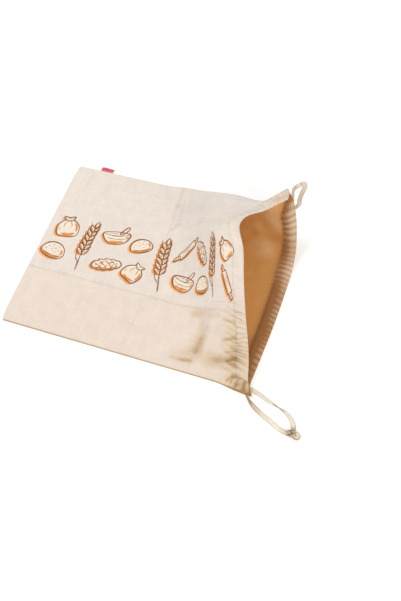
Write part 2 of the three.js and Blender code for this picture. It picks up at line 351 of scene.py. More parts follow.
def satinRibbon():
    material, tree, flat = newMaterial("satin_ribbon")
    ribs = addNode(tree, "ShaderNodeTexWave",
                   {"bands_direction": "X", "Distortion": 0.3,
                    "Scale": metre / ribbonFinish["ribPitch"] / waveBandsPerUnit}, {"Vector": flat})
    # painted highlight: the root's painted value mixes the red towards the paler tint
    paintedLight = addNode(tree, "ShaderNodeAttribute", {"attribute_name": "paintedLight"})
    colour = addNode(tree, "ShaderNodeMix",
                     {"data_type": "RGBA", 6: linearColour(ribbonFinish["tint"]),
                      7: linearColour(ribbonFinish["edge"])}, {0: paintedLight.outputs["Fac"]})
    shadeWith(tree, {"Height": ribs.outputs["Fac"]}, ribbonFinish["ribDepth"],
              {"Roughness": ribbonFinish["roughness"], "Anisotropic": 0.5, "Sheen Weight": 0.2},
              {"Base Color": colour.outputs[2]})
    return material


# Sewing thread: two twisted plies with a slight shine, and a copy painted darker and warmer as shade for the
# stitches inside the bag
threadFinish = {
    "tint": "#D9CBB4",
    # painted shade: the same thread painted darker and warmer for the stitches inside the bag
    "inside": "#B98A58",
    "twistPitch": 0.5,
    "twistDepth": 0.1,
    "roughness": 0.6,
}


def sewingThread(name, tint):
    material, tree, flat = newMaterial(name)
    twist = addNode(tree, "ShaderNodeTexWave",
                    {"bands_direction": "DIAGONAL",
                     "Scale": metre / threadFinish["twistPitch"] / waveBandsPerUnit}, {"Vector": flat})
    shadeWith(tree, {"Height": twist.outputs["Fac"]}, threadFinish["twistDepth"],
              {"Base Color": linearColour(tint), "Roughness": threadFinish["roughness"],
               "Sheen Weight": 0.2}, {}, strength=0.6)
    return material


materials = {name: linenWithPaintedShade("washed_linen_" + name, linen[name])
             for name in ("upper", "lower", "outside", "inside", "casing")}
materials.update(ink=printedLinen(), tape=cottonTape(), ribbon=satinRibbon(),
                 thread=sewingThread("sewing_thread", threadFinish["tint"]),
                 threadInside=sewingThread("sewing_thread_painted_shade", threadFinish["inside"]))
print("linen, tape, ribbon and thread finishes made")


# Drawstring tapes
tape = {
    "width": 6.6,
    "thickness": 0.9,
    "stations": 90,
    "sides": 14,
    "squareness": 0.6,  # 1 makes its section an ellipse, and less a squarer oval
    "cup": 0.05,  # how far its edges curl up, as a share of half its width
    "floor": 0.1,  # how far its lowest edge stays above the surface
    "pressed": 0.3,  # how much of its thickness is left where it is pressed on the surface
    "turnSmoothing": 13,  # stations over which its turning is evened out
    # painted shade along both edges of the tape, falling off towards its middle as a power
    "edgePaintedShade": 0.75,
    "edgePower": 8,
    "cordDiameter": 7.5,  # the tape's width in the solids
    "pathEvery": 3,  # stations between two points of a cord's path
}
# Each tape: its route, how far it is turned about its own line, in degrees, how much shade is painted on it
# apart from its edges, both at shares of its length, the way it faces, the node it stands for and how its far
# end is held
tapeRuns = {
    "near_tape_strand_a": {
        "route": [
            (366.7, -6.8, 2), (370, -10, 2.2), (375, -15, 2.4), (381, -19.5, 2.4), (387, -23, 2.4),
            (394, -27, 2.2), (401, -30, 2), (408, -33, 1.8), (414, -36, 1.8), (420, -39, 1.8),
            (427, -41.4, 2.2), (433.4, -43, 3), (436.5, -43.6, 3.6),
        ],
        "turn": [(0, 80), (0.1, 70), (0.28, 18), (0.6, 8), (0.85, 35), (1, 60)],
        "wearAndPaintedShade": [(0, 1), (0.12, 0.9), (0.22, 0.6), (0.34, 0.4), (0.5, 0.15), (0.8, 0.05), (0.93, 0.4),
                 (1, 1)],
        "facing": (0, 0, 1),
        "node": "near_tape_a",
        "farEnd": "knot",
        "tied": "near",
    },
    "near_tape_strand_b": {
        "route": [
            (367.7, 3.2, 2), (372, 2.6, 2), (377, 1.7, 2.2), (383, 0, 2.8), (390, -3, 3), (397, -6, 3),
            (404, -8, 2.8), (411, -10, 2.6), (418, -12, 2.6), (425, -15, 2.6), (431, -19, 2.6),
            (436, -25, 2.8), (439.2, -33.2, 3.4), (439.4, -38.5, 4),
        ],
        "turn": [(0, 40), (0.2, 52), (0.4, 58), (0.52, 100), (0.62, 150), (0.8, 168), (1, 200)],
        "wearAndPaintedShade": [(0, 0.25), (0.08, 0.05), (0.42, 0.1), (0.5, 0.75), (0.58, 0.6), (0.68, 0.05), (0.9, 0.15),
                 (0.96, 0.7), (1, 1)],
        "facing": (0, 0, 1),
        "node": "near_tape_b",
        "farEnd": "object",
        "tied": None,
    },
    "far_tape_loop": {
        "route": [
            (350.4, 289.1, 50), (350.8, 292, 55), (349.6, 294.9, 60), (348.5, 298.5, 64.5),
            (349, 301.8, 69), (352, 304.5, 72.5), (356.5, 306.6, 75.5), (361, 308.6, 77),
            (363.7, 306.8, 74.3), (362.5, 302.6, 69), (361.1, 297.7, 63), (360.5, 293.4, 57),
            (361.4, 290.4, 53), (359.4, 286.7, 49.5), (354.8, 283.7, 46),
        ],
        "turn": [(0, 48), (0.28, 40), (0.38, 10), (0.5, 0), (0.6, 5), (0.75, 12), (0.9, 25), (1, 40)],
        "wearAndPaintedShade": [(0, 0.6), (0.15, 0.5), (0.3, 0.5), (0.38, 0.1), (0.54, 0.15), (0.62, 0.45), (0.75, 0.5),
                 (0.9, 0.3), (1, 0.1)],
        "facing": (0.15, -0.48, 0.87),
        "node": "far_tape",
        "farEnd": "object",
        "tied": "far",
    },
}


def tapeMesh(name, run):
    # a flat band carried along a route: at each station its width lies square to the route and to the
    # direction it faces, turned about the route by the table. Its section is a flat oval, cos and sin of
    # the angle with the cos raised to a power, and its edges curl up by the square of their distance.
    line = curveThrough(run["route"], tape["stations"])
    forward = unit(np.gradient(line, axis=0))
    level = unit(np.cross(np.asarray(run["facing"], float), forward))
    up = np.cross(forward, level)
    share = np.linspace(0, 1, len(line))
    turn = np.radians(np.interp(share, *np.array(run["turn"], float).T))
    window = np.ones(tape["turnSmoothing"]) / tape["turnSmoothing"]
    turn = np.convolve(np.pad(turn, tape["turnSmoothing"] // 2, mode="edge"), window, mode="valid")[:, None]
    wide = level * np.cos(turn) + up * np.sin(turn)
    thin = np.cross(forward, wide)
    sides = tape["sides"]
    angle = 2 * np.pi * np.arange(sides) / sides
    fromMiddle = np.sign(np.cos(angle)) * np.abs(np.cos(angle)) ** tape["squareness"]
    u = fromMiddle * tape["width"] / 2
    v = np.sin(angle) * tape["thickness"] / 2
    cupped = tape["cup"] * fromMiddle**2 * tape["width"] / 2
    points = carried(line, wide, thin, u, v + cupped)
    lowest = tape["floor"] + tape["pressed"] * (v[None, :] + tape["thickness"] / 2)
    points[..., 2] = np.maximum(points[..., 2], lowest)
    # each end is closed by a fan of triangles about one more point
    total = len(line) * sides
    firstRing, lastRing = np.arange(sides), total - sides + np.arange(sides)
    fans = [np.stack([firstRing, np.roll(firstRing, -1), np.full(sides, total)], 1),
            np.stack([np.roll(lastRing, -1), lastRing, np.full(sides, total + 1)], 1)]
    quads = tubeFaces(len(line), sides)
    faces = np.vstack([quads[:, [0, 1, 2]], quads[:, [0, 2, 3]], *fans])
    along = share * stepsOf(line).sum() / metre
    cut = np.stack([np.repeat(along, sides), np.tile(u / metre, len(line))], 1)
    cut = np.vstack([cut, [[along[0], 0], [along[-1], 0]]])
    # painted shade, darker along both edges, where the selvedge is
    edge = tape["edgePaintedShade"] * np.abs(fromMiddle) ** tape["edgePower"]
    paintedLight = edge[None, :] + np.interp(share, *np.array(run["wearAndPaintedShade"], float).T)[:, None]
    paintedLight = np.concatenate([np.clip(paintedLight, 0, 1).ravel(), [1, 1]])
    made = makePiece(name, np.vstack([points.reshape(-1, 3), line[[0, -1]]]), faces, [materials["tape"]],
                     cut, paintedLight=paintedLight)
    return made, line


# Knots: middle, half size and painted shade of each; the near one has its ends folded into a ring beside it
knot = {
    "near": {"middle": (438.2, -42, 4.4), "size": (6.2, 4, 2.6), "bandScale": 1.0, "shade": 0.75},
    "far": {"middle": (360, 307.3, 78.4), "size": (3.6, 2.6, 2.4), "bandScale": 0.95, "shade": 0.12},
    "bandWide": 2.5,
    "bandThin": 1.0,
    "stations": 160,
    "sides": 10,
}
foldedEnd = {
    "middle": (445.6, -42.6, 3.1),
    "size": (3.4, 3.2),
    "tilt": 0.6,
    "bandWide": 2.1,
    "bandThin": 1.2,
    "stations": 48,
    "sides": 8,
    "cutRadius": 4,
    "cutHalfWidth": 1.6,
    # painted shade on the folded ring, with more painted on the part of its section that faces outwards
    "shade": 0.15,
    "outerPaintedShade": 0.8,  # more, on the part of the section that faces outwards
    "outerFrom": 0.5,
}


def knotBand(tied):
    # an overhand knot drawn as a closed three-lobed line: (sin t + 2 sin 2t, cos t - 2 cos 2t, -sin 3t),
    # scaled to the knot's size, with a flat oval band carried along it that faces away from its middle
    stations, sides = knot["stations"], knot["sides"]
    t = np.linspace(0, 2 * np.pi, stations, endpoint=False)
    lobes = np.stack([np.sin(t) + 2 * np.sin(2 * t), np.cos(t) - 2 * np.cos(2 * t), -np.sin(3 * t)], 1)
    line = np.asarray(tied["middle"]) + lobes / (3, 3, 1) * tied["size"]
    forward = unit(np.roll(line, -1, 0) - np.roll(line, 1, 0))
    outward = unit(line - np.asarray(tied["middle"]))
    thin = unit(outward - (outward * forward).sum(1, keepdims=True) * forward)
    wide = np.cross(forward, thin)
    angle = 2 * np.pi * np.arange(sides) / sides
    u = np.cos(angle) * knot["bandWide"] * tied["bandScale"]
    v = np.sin(angle) * knot["bandThin"] * tied["bandScale"]
    points = carried(line, wide, thin, u, v).reshape(-1, 3)
    cut = np.stack([np.repeat(t * tied["size"][0] / metre, sides), np.tile(u / metre, stations)], 1)
    # the knot's painted shade, the same all over it
    return points, tubeFaces(stations, sides, closed=True), cut, np.full(len(points), tied["shade"])


def foldedRing():
    # the near tape's ends, folded back beside the knot: a small flat band round a tilted ellipse
    stations, sides = foldedEnd["stations"], foldedEnd["sides"]
    t = np.linspace(0, 2 * np.pi, stations, endpoint=False)
    middle, (long, short) = np.array(foldedEnd["middle"]), foldedEnd["size"]
    line = middle + np.stack([long * np.cos(t), short * np.sin(t), foldedEnd["tilt"] * np.sin(t)], 1)
    upward = np.tile((0.0, 0.0, 1.0), (stations, 1))
    angle = 2 * np.pi * np.arange(sides) / sides
    points = carried(line, unit(line - middle), upward, foldedEnd["bandWide"] * np.cos(angle),
                     foldedEnd["bandThin"] * np.sin(angle)).reshape(-1, 3)
    cut = np.stack([np.repeat(t * foldedEnd["cutRadius"] / metre, sides),
                    np.tile(np.sin(angle) * foldedEnd["cutHalfWidth"] / metre, stations)], 1)
    outer = np.cos(angle) > foldedEnd["outerFrom"]
    paintedLight = np.tile(foldedEnd["shade"] + foldedEnd["outerPaintedShade"] * outer, stations)
    return points, tubeFaces(stations, sides, closed=True), cut, paintedLight


def makeKnot(name, node, bands):
    starts = np.cumsum([0] + [len(points) for points, _, _, _ in bands])
    points = np.vstack([band[0] for band in bands])
    points[:, 2] = np.maximum(points[:, 2], tape["floor"])
    made = makePiece(name, points, np.vstack([band[1] + start for band, start in zip(bands, starts)]),
                     [materials["tape"]], np.vstack([band[2] for band in bands]),
                     paintedLight=np.concatenate([band[3] for band in bands]))
    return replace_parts(made, node)


knots = {
    "near": makeKnot("near_knot_tied", "near_knot", [knotBand(knot["near"]), foldedRing()]),
    "far": makeKnot("far_knot_tied", "far_knot", [knotBand(knot["far"])]),
}
for name, run in tapeRuns.items():
    made, line = tapeMesh(name, run)
    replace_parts(made, run["node"])
print("tapes and knots made")


# The bag's cloth, worked out on the flat cut: along runs from the closed end to the mouth edge and share
# is the place across it, from 0 at the near seam to 1 at the far one
bag = {
    "width": 300,
    "mouthFlare": 8,
    "closedTaper": 4,
    "length": 366,
    "piecedSeam": 0.324,  # share of the width, from the near seam
    "piecedGap": 0.0001,  # share of the width between either front cloth and that seam
    "middle": 1.4,  # height of the surface between back and front where the bag lies flat
    "foldLine": 182,
    "foldHeight": 0.55,
    "foldHalfWidth": 3,
    "foldFade": 0.3,
    "foldLift": 3,
    "foldLiftReach": 25,
    "foldLiftSide": 3,
    "frontPuff": 1.2,
    "puffStart": 60,
    "tuckPower": 4,
    "cornerRound": 3,
    "cornerReach": 9,
    "cornerSharpness": 16,
    "steadyRise": 0.45,
    "casingDepth": 18,
}
# The mouth edge: its place at shares of the width, how far along the cloth starts to rise to it, how late
# it rises, from 0 to 1, how far it billows up and tucks in on the way, and how strongly it gathers
mouthColumns = ("share", "x", "y", "z", "riseFrom", "late", "billow", "tuck", "gather")
frontMouth = dict(zip(mouthColumns, np.array([
    (0.0, 366, -6, 0, 318, 0, 0, 0, 0.3),
    (0.06, 362, 18, 9, 276, 0, 0.5, 0, 1.0),
    (0.16, 354, 46, 21, 248, 0, 2, 0, 1.3),
    (0.324, 336, 91, 40, 240, 0, 1, 0, 0.9),
    (0.46, 321, 131, 59, 218, 0, 7, 0, 0.25),
    (0.6, 308, 171, 75, 200, 0, 11, 0, 0.1),
    (0.71, 293, 206, 82, 188, 0, 9, 2, 0.3),
    (0.86, 314, 248.6, 74.6, 188, 0.4, 4, 10, 0.9),
    (0.94, 329.5, 278, 75.4, 168, 0.7, 2, 16, 0.9),
    (1.0, 340.5, 298, 73, 150, 0.9, 0, 25, 0.6),
], float).T))
backMouth = dict(zip(mouthColumns, np.array([
    (0.0, 366, -6, 0, 318, 0, 0, 0, 0),
    (0.16, 371, 52, 0, 310, 0, 0, 0, 0),
    (0.35, 375, 110, 0, 310, 0, 0, 0, 0.1),
    (0.52, 377, 165, 0, 312, 0, 0, 0, 0.2),
    (0.67, 377, 214, 4, 318, 0.3, 0, 0, 0.5),
    (0.78, 372, 247, 18, 296, 0.6, 0, 4, 1.0),
    (0.9, 359, 279, 47, 238, 1, 0, 12, 1.2),
    (1.0, 340.5, 298, 73, 150, 0.9, 0, 25, 0.6),
], float).T))


def readColumn(rows, column, share):
    # one column at a share of the width: a cubic through the rows, its slope at a row taken between
    # the rows on either side
    at, value = rows["share"], rows[column]
    last = len(at) - 1
    before, after = np.maximum(np.arange(last + 1) - 1, 0), np.minimum(np.arange(last + 1) + 1, last)
    slope = (value[after] - value[before]) / (at[after] - at[before])
    low = np.clip(np.searchsorted(at, share, side="right") - 1, 0, last - 1)
    span = at[low + 1] - at[low]
    t = np.clip((share - at[low]) / span, 0, 1)
    bend = slope[low] * span * t * (1 - t) ** 2 - slope[low + 1] * span * t * t * (1 - t)
    return value[low] + (value[low + 1] - value[low]) * smoothstep(t) + bend


def widthAt(along):
    # the width grows evenly from the closed end to the mouth
    gain = bag["mouthFlare"] + bag["closedTaper"]
    return bag["width"] - bag["closedTaper"] + gain * along / bag["length"]


def placeOf(rows, along, share):
    # flat cloth, drawn towards its mouth edge from where it starts to rise: x and y ease from the flat
    # place to the edge's, and z rises partly with the distance and partly eased, or late, as its square
    length = bag["length"]
    riseFrom, late = readColumn(rows, "riseFrom", share), readColumn(rows, "late", share)
    t = np.clip((along - riseFrom) / (length - riseFrom), 0, 1)
    drawn = smoothstep(t)
    drawnIn = drawn + (t ** bag["tuckPower"] - drawn) * late
    steady = drawn + (t - drawn) * bag["steadyRise"]
    raised = steady + (t * t - steady) * late
    flatY = share * widthAt(along)
    corner = bag["cornerRound"] * (1 - along / length) ** bag["cornerReach"]
    corner = corner * np.abs(2 * share - 1) ** bag["cornerSharpness"]
    lifted = bell(along - bag["foldLine"], bag["foldLiftReach"]) * share ** bag["foldLiftSide"]
    archAlong = 4 * t * (1 - t)
    z = readColumn(rows, "z", share) * raised + readColumn(rows, "billow", share) * archAlong
    z = z + bag["foldLift"] * lifted
    x = along + corner + (readColumn(rows, "x", share) - length) * drawn
    y = flatY + (readColumn(rows, "y", share) - flatY) * drawnIn
    y = y - readColumn(rows, "tuck", share) * np.sin(np.pi * t ** bag["tuckPower"])
    return x, y, np.maximum(z, 0)


# Close to the far end of the mouth the casing is turned over, so that the edge hangs below its seam:
# the share of the width where that starts, and how far the edge then lies from where it would be
turnedIn = {"front": 0.76, "back": 0.9, "shift": (7.5, -5, -16), "soft": 2.5, "slideFrom": 150}


def turnedPlace(side, rows, along, share):
    # the cloth up to the turn is the drawn cloth slid towards its edge; past the turn it runs straight
    # down. Both ease into one another as a hyperbola.
    turn = smoothstep((share - turnedIn[side]) / (1 - turnedIn[side]))
    depth = bag["casingDepth"]
    slid = smoothstep((along - turnedIn["slideFrom"]) / (bag["length"] - depth - turnedIn["slideFrom"]))
    before = bag["length"] - along - depth * turn * slid
    bend = np.sqrt(before**2 + (turnedIn["soft"] * turn) ** 2)
    x, y, z = placeOf(rows, bag["length"] - (bend + before) / 2, share)
    past = (bend - before) / 2 / depth
    shift = turnedIn["shift"]
    return x + shift[0] * past, y + shift[1] * past, z + shift[2] * past


def foldHeight(rows, along, across):
    # the sum of soft folds, each a line on the cut cloth whose height falls off as a bell on both sides
    total = np.zeros(np.broadcast(along, across).shape)
    for fromX, fromY, toX, toY, height, spread in rows:
        dx, dy = toX - fromX, toY - fromY
        t = np.clip(((along - fromX) * dx + (across - fromY) * dy) / (dx * dx + dy * dy), 0, 1)
        away = np.hypot(along - fromX - t * dx, across - fromY - t * dy)
        total = total + height * bell(away, spread)
    return total


# Soft folds on the front: from x, from y, to x, to y, height and half width
frontFolds = [
    (262, 90, 294, 90, -3, 8),
    (281, 76, 288, 34, -3, 7),
    (252, 24, 286, 30, -2, 7),
    (298, 24, 344, 34, -3, 7),
    (300, 74, 342, 58, 2, 6),
    (179, 214, 200, 238, 1.4, 5),
    (236, 176, 330, 196, 3, 9),
    (238, 232, 330, 214, -3, 10),
]
# Small creases on the front, placed the same way
frontCreases = [
    (151, 20, 151, 92, 0.5, 2.2),
    (151, 92, 153, 150, 0.35, 2.5),
    (181, 214, 193, 230, -0.9, 1.8),
    (186, 212, 197, 226, 0.7, 3),
    (186, 233, 184, 262, 0.5, 3),
    (166, 250, 172, 296, 0.7, 4),
    (178, 300, 178, 262, -0.8, 2.0),
    (178, 262, 180, 222, -0.6, 2.4),
    (152, 292, 158, 274, -0.5, 2.2),
    (264, 90, 278, 91, -1.1, 5.5),
    (307, 90, 317, 90, -0.8, 4.5),
    (293, 70, 289, 54, -0.6, 4),
    (289, 54, 280, 36, -0.8, 6),
    (280, 36, 272, 25, -0.8, 7),
    (297, 70, 294, 54, -0.4, 2),
    (294, 54, 285, 34, -0.5, 2.2),
    (285, 34, 278, 22, -0.5, 2.6),
    (302, 64, 297, 46, 0.9, 5),
    (297, 46, 285, 20, 1.3, 4.5),
    (282, 19, 268, 16.5, -1.7, 3.2),
    (268, 16.5, 250, 17, -1.4, 2.4),
    (266, 24, 279, 28, 0.7, 3.5),
    (304, 33, 318, 27, -0.8, 7),
    (300, 18, 330, 21, -0.6, 2.6),
    (318, 31, 340, 33, -0.7, 6),
    (300, 12, 336, 12, 0.7, 4),
    (206, 116, 232, 124, 0.5, 5),
    (300, 109, 366, 112, 0.7, 1.6),
    (327, 85, 347, 84, -1.6, 2.6),
    (336, 90, 347, 91, -0.7, 1.6),
    (326, 75, 346, 74, 0.9, 3.0),
    (335, 76, 347, 79, -0.6, 1.6),
    (333, 67, 347, 69, -0.6, 1.8),
    (326, 56, 347, 62, -1.7, 2.6),
    (325, 50, 346, 53, 1.2, 3.0),
    (337, 47, 347, 51, -0.9, 1.6),
    (330, 41, 347, 45, -1.1, 2.0),
    (328, 35, 347, 40, 0.6, 2.0),
    (334, 31, 348, 36, -1.1, 2.0),
    (337, 25, 347, 28, -0.7, 1.5),
    (332, 19, 347, 23, -0.9, 2.0),
    (336, 7, 344, 13, -1.4, 2.2),
    (344, 13, 353, 16, -1.2, 2.2),
]
# Patches of painted shade on the front, placed the same way: how dark, and half width
frontPaintedShadePatches = [
    (178, 300, 178, 262, 0.2, 2.2),
    (178, 262, 180, 224, 0.1, 4.5),
    (181, 214, 193, 230, 0.2, 2.2),
    (181, 210, 182, 96, 0.09, 1.8),
    (182, 92, 182, 14, 0.09, 1.8),
    (293, 72, 284, 42, 0.1, 9),
    (282, 42, 268, 27, 0.12, 13),
    (282, 19, 254, 17, 0.1, 6),
    (279, 18.5, 264, 16.5, 0.16, 2.6),
    (304, 30, 340, 26, 0.1, 10),
    (336, 12, 366, 12, 0.3, 1.5),
    (345.5, 268, 345.5, 300, 0.9, 1.6),
    (358, 276, 360, 292, 0.5, 3),
]


# Gathers. A waver is a sine across the bag: its height, its length and a number that sets where it starts.
gathers = {
    "wavers": ((1.1, 17.0, 1), (0.8, 7.3, 2.1)),
    "uneven": (0.25, 11.0, 3),
    "roundness": 0.5,
    "lean": (0.32, 9.5, 1.3),
    # the fine gathers also set how far the painted shade of their troughs fades beyond the casing
    "fine": {"pitch": 5.4, "seed": 0.6, "height": 1.5, "fade": 4, "paintedShadeFade": 5},
    "broad": {"pitch": 9.5, "lean": -0.3, "seed": 2.2, "height": 1.3, "middle": 5, "half": 13},
    "back": {"pitch": 7.6, "lean": -0.25, "seed": 1.1, "height": 1.5, "fade": 8},
}


def gatherWave(along, across, pitch, lean, seed):
    # uneven gathers: the root of a raised cosine across the bag whose phase wanders, sheared along it
    wander = sum(size * np.sin(across / length + factor * seed) for size, length, factor in gathers["wavers"])
    phase = 2 * np.pi * (across + lean * (bag["length"] - along)) / pitch + wander
    size, length, factor = gathers["uneven"]
    uneven = 1 - size + size * np.sin(across / length + factor * seed)
    return (0.5 - 0.5 * np.cos(phase)) ** gathers["roundness"] * uneven


# Slow unevenness of cloth that isn't ironed: long waves, each with its length and its angle in radians
slack = {
    "waves": ((95, 0.4), (63, 1.9), (47, 2.7), (34, 1.1), (26, 0.1)),
    "height": 0.35,
    "seed": 1.7,
    "seedFrom": 1.3,
    "fade": 0.5,
    "spread": 3,  # what the sum of the waves is divided by, so that it mostly stays within 1
}


def undulation(along, across):
    # a sum of sines whose heights are in proportion to their lengths
    total, longest = 0, slack["waves"][0][0]
    for k, (length, angle) in enumerate(slack["waves"]):
        towards = along * math.cos(angle) + across * math.sin(angle)
        start = slack["seed"] * (k + slack["seedFrom"])
        total = total + np.sin(2 * np.pi * towards / length + start) * length / longest
    return total / slack["spread"]


# The cloth drawn up into a roll at the near end of the mouth
cornerRoll = {
    "reach": 44,  # from the mouth edge
    "half": 5.6,
    "height": 6.5,
    "lumpPitch": 7.4,
    "lumpDepth": 0.36,
    "lumpSlant": 0.5,
    "lumpWander": (1.1, 4.1),  # how far, and over what length
    "push": 8,  # how far its end is pushed out, and how far that reaches along and across
    "pushAlong": 14,
    "pushAcross": 8,
}


def rolled(along, across):
    # the roll's section is a half ellipse beside the near seam that fades away from the mouth; its
    # lumps are a cosine along it, slanted and uneven
    fromMouth = bag["length"] - along
    fade = 1 - smoothstep(fromMouth / cornerRoll["reach"])
    section = np.sqrt(np.clip(1 - (across / cornerRoll["half"] - 1) ** 2, 0, 1)) * fade
    wander, wanderLength = cornerRoll["lumpWander"]
    slanted = fromMouth + cornerRoll["lumpSlant"] * across + wander * np.sin(fromMouth / wanderLength)
    lump = 0.5 + 0.5 * np.cos(2 * np.pi * slanted / cornerRoll["lumpPitch"])
    return section, lump


def beyondCasing(along):
    # how far a place lies from the casing's seam, on the side of the closed end
    return np.maximum(0, bag["length"] - along - bag["casingDepth"])


def frontGathers(along, share):
    # small uneven gathers in the casing, and longer ones that run out from its seam into the cloth
    across = share * bag["width"]
    beyond = beyondCasing(along)
    gather = readColumn(frontMouth, "gather", share)
    size, length, start = gathers["lean"]
    lean = size * np.sin(across / length + start)
    fine, broad = gathers["fine"], gathers["broad"]
    fineWave = gatherWave(along, across, fine["pitch"], lean, fine["seed"])
    broadWave = gatherWave(along, across, broad["pitch"], broad["lean"], broad["seed"])
    return (gather * fineWave * np.exp(-beyond / fine["fade"]),
            gather * broadWave * bell(beyond - broad["middle"], broad["half"]))


pucker = {"pitch": 5.2, "height": 0.22, "reach": 4, "wander": (1.3, 19)}


def seamPucker(along, across):
    # where two pieces are sewn the cloth ripples a little, less the further it is from the seam: a sine
    # along the seam whose phase wanders, under a bell across it
    wander, wanderLength = pucker["wander"]
    ripple = np.sin(2 * np.pi * along / pucker["pitch"] + wander * np.sin(along / wanderLength))
    return pucker["height"] * ripple * bell(across - bag["piecedSeam"] * bag["width"], pucker["reach"])


def frontRelief(along, share):
    # the front's height above its smooth surface: the gathers, a puff that is a half sine across, the fold
    # line, the soft folds and creases, the slack, the corner's roll and the seam's ripple, added up
    across = share * bag["width"]
    fine, broad = frontGathers(along, share)
    archAcross = np.sin(np.pi * np.clip(share, 0, 1))
    puff = bag["frontPuff"] * archAcross * np.clip(along / bag["puffStart"], 0, 1)
    fold = bag["foldHeight"] * bell(along - bag["foldLine"], bag["foldHalfWidth"])
    fold = fold * archAcross ** bag["foldFade"]
    soft = foldHeight(frontFolds + frontCreases, along, across)
    slow = slack["height"] * (1 + undulation(along, across)) * archAcross ** slack["fade"]
    section, lump = rolled(along, across)
    roll = cornerRoll["height"] * section * (1 - cornerRoll["lumpDepth"] * (1 - lump))
    gathered = gathers["fine"]["height"] * fine + gathers["broad"]["height"] * broad
    return gathered + puff + fold + soft + slow + roll + seamPucker(along, across)


# How dark the shade painted on each kind of shaded place on the front is, from 0 to 1
frontPaintedShadeLevels = {
    "foldDepth": 13,  # depth at which a fold would be fully dark, and the darkest it gets
    "foldMost": 0.25,
    "creaseDepth": 4.6,
    "creaseMost": 0.36,
    "troughs": 0.34,
    "troughEdge": 12,  # millimetres from the mouth edge over which the troughs reach their full shade
    "roll": 0.92,
    "rollLump": 0.5,  # less, on its lumps
    "rollSeam": (0.2, 4),  # more beside the seam: how dark, and half width
    "turned": 0.15,  # where the cloth turns away under the raised part of the mouth
    "turnedAlong": (250, 90),  # where that starts, and over how many millimetres it grows
    "turnedShare": (0.33, 0.12),  # where it ends across the bag, and over what share it grows
    "sideSeam": (0.8, 1.4),
}


def frontPaintedShade(along, share):
    # the shade painted at a point: deep folds, the troughs between gathers, the bunched corner, the
    # slope that turns away under the mouth, the patches and the side seam, added up
    shading = frontPaintedShadeLevels
    across = share * bag["width"]
    folds = np.clip(-foldHeight(frontFolds, along, across) / shading["foldDepth"], 0, shading["foldMost"])
    creases = -foldHeight(frontCreases, along, across) / shading["creaseDepth"]
    folds = folds + np.clip(creases, 0, shading["creaseMost"])
    fine, broad = frontGathers(along, share)
    beyond = beyondCasing(along)
    gather = readColumn(frontMouth, "gather", share)
    reach = np.exp(-beyond / gathers["fine"]["paintedShadeFade"])
    reach = reach + bell(beyond - gathers["broad"]["middle"], gathers["broad"]["half"])
    troughs = gather * reach - fine - broad
    troughs = troughs * (0.5 + 0.5 * np.clip((bag["length"] - along) / shading["troughEdge"], 0, 1))
    section, lump = rolled(along, across)
    seamShade, seamHalf = shading["rollSeam"]
    roll = section * (shading["roll"] - shading["rollLump"] * lump)
    roll = roll + seamShade * section * bell(across, seamHalf)
    (alongFrom, alongOver), (shareTo, shareOver) = shading["turnedAlong"], shading["turnedShare"]
    turned = smoothstep((along - alongFrom) / alongOver) * smoothstep((shareTo - share) / shareOver)
    seamShade, seamHalf = shading["sideSeam"]
    patches = foldHeight(frontPaintedShadePatches, along, across) + seamShade * bell(across, seamHalf)
    return np.clip(folds + shading["troughs"] * troughs + roll + shading["turned"] * turned + patches, 0, 1)


# Soft folds on the back, inside the mouth, placed like the front's
backFolds = [
    (316, 272, 344, 248, 2.6, 8),
    (304, 262, 326, 226, 2.0, 9),
    (298, 226, 330, 196, 1.5, 9),
    (296, 180, 338, 150, 0.8, 10),
    (322, 96, 350, 60, 0.7, 7),
    (300, 246, 316, 236, -0.8, 4),
]


def backWave(along, share):
    # the gathers of the back's casing
    back = gathers["back"]
    return gatherWave(along, share * bag["width"], back["pitch"], back["lean"], back["seed"])


def backRelief(along, share):
    # the back's height above its smooth surface: gathers that fade beyond the casing, and soft folds
    gather = readColumn(backMouth, "gather", share)
    fine = gather * backWave(along, share) * np.exp(-beyondCasing(along) / gathers["back"]["fade"])
    soft = foldHeight(backFolds, along, share * bag["width"])
    return np.maximum(0, gathers["back"]["height"] * fine + soft)


# Painted lighter and darker patches on the inside of the back, placed like the front's: a painted pool of
# light where the value is below 0, painted shade above it
backPaintedLightAndShade = [
    (326, 286, 342, 262, -0.42, 12),
    (300, 272, 324, 228, -0.16, 14),
    (318, 236, 336, 214, -0.15, 9),
    (308, 246, 340, 240, 0.14, 7),
    (322, 90, 354, 60, 0.15, 8),
]
# How dark the shade painted on the inside of the back is, from 0 to 1. A start is followed by how far it
# takes to grow, both in millimetres from the casing's seam or both as shares of the width.
backPaintedShadeLevels = {
    "casing": 0.1,
    "troughs": 0.6,
    "nearHalf": 0.42,
    "nearHalfTo": (0.66, 0.3),
    "farEndFrom": (0.945, 0.03),
    "inside": 0.5,
    "insideFrom": (2, 3),
    "underSeam": 0.6,
    "underSeamAt": (4, 6),  # how far towards the mouth, and half width
    "sideSeam": (0.9, 1.4),
}


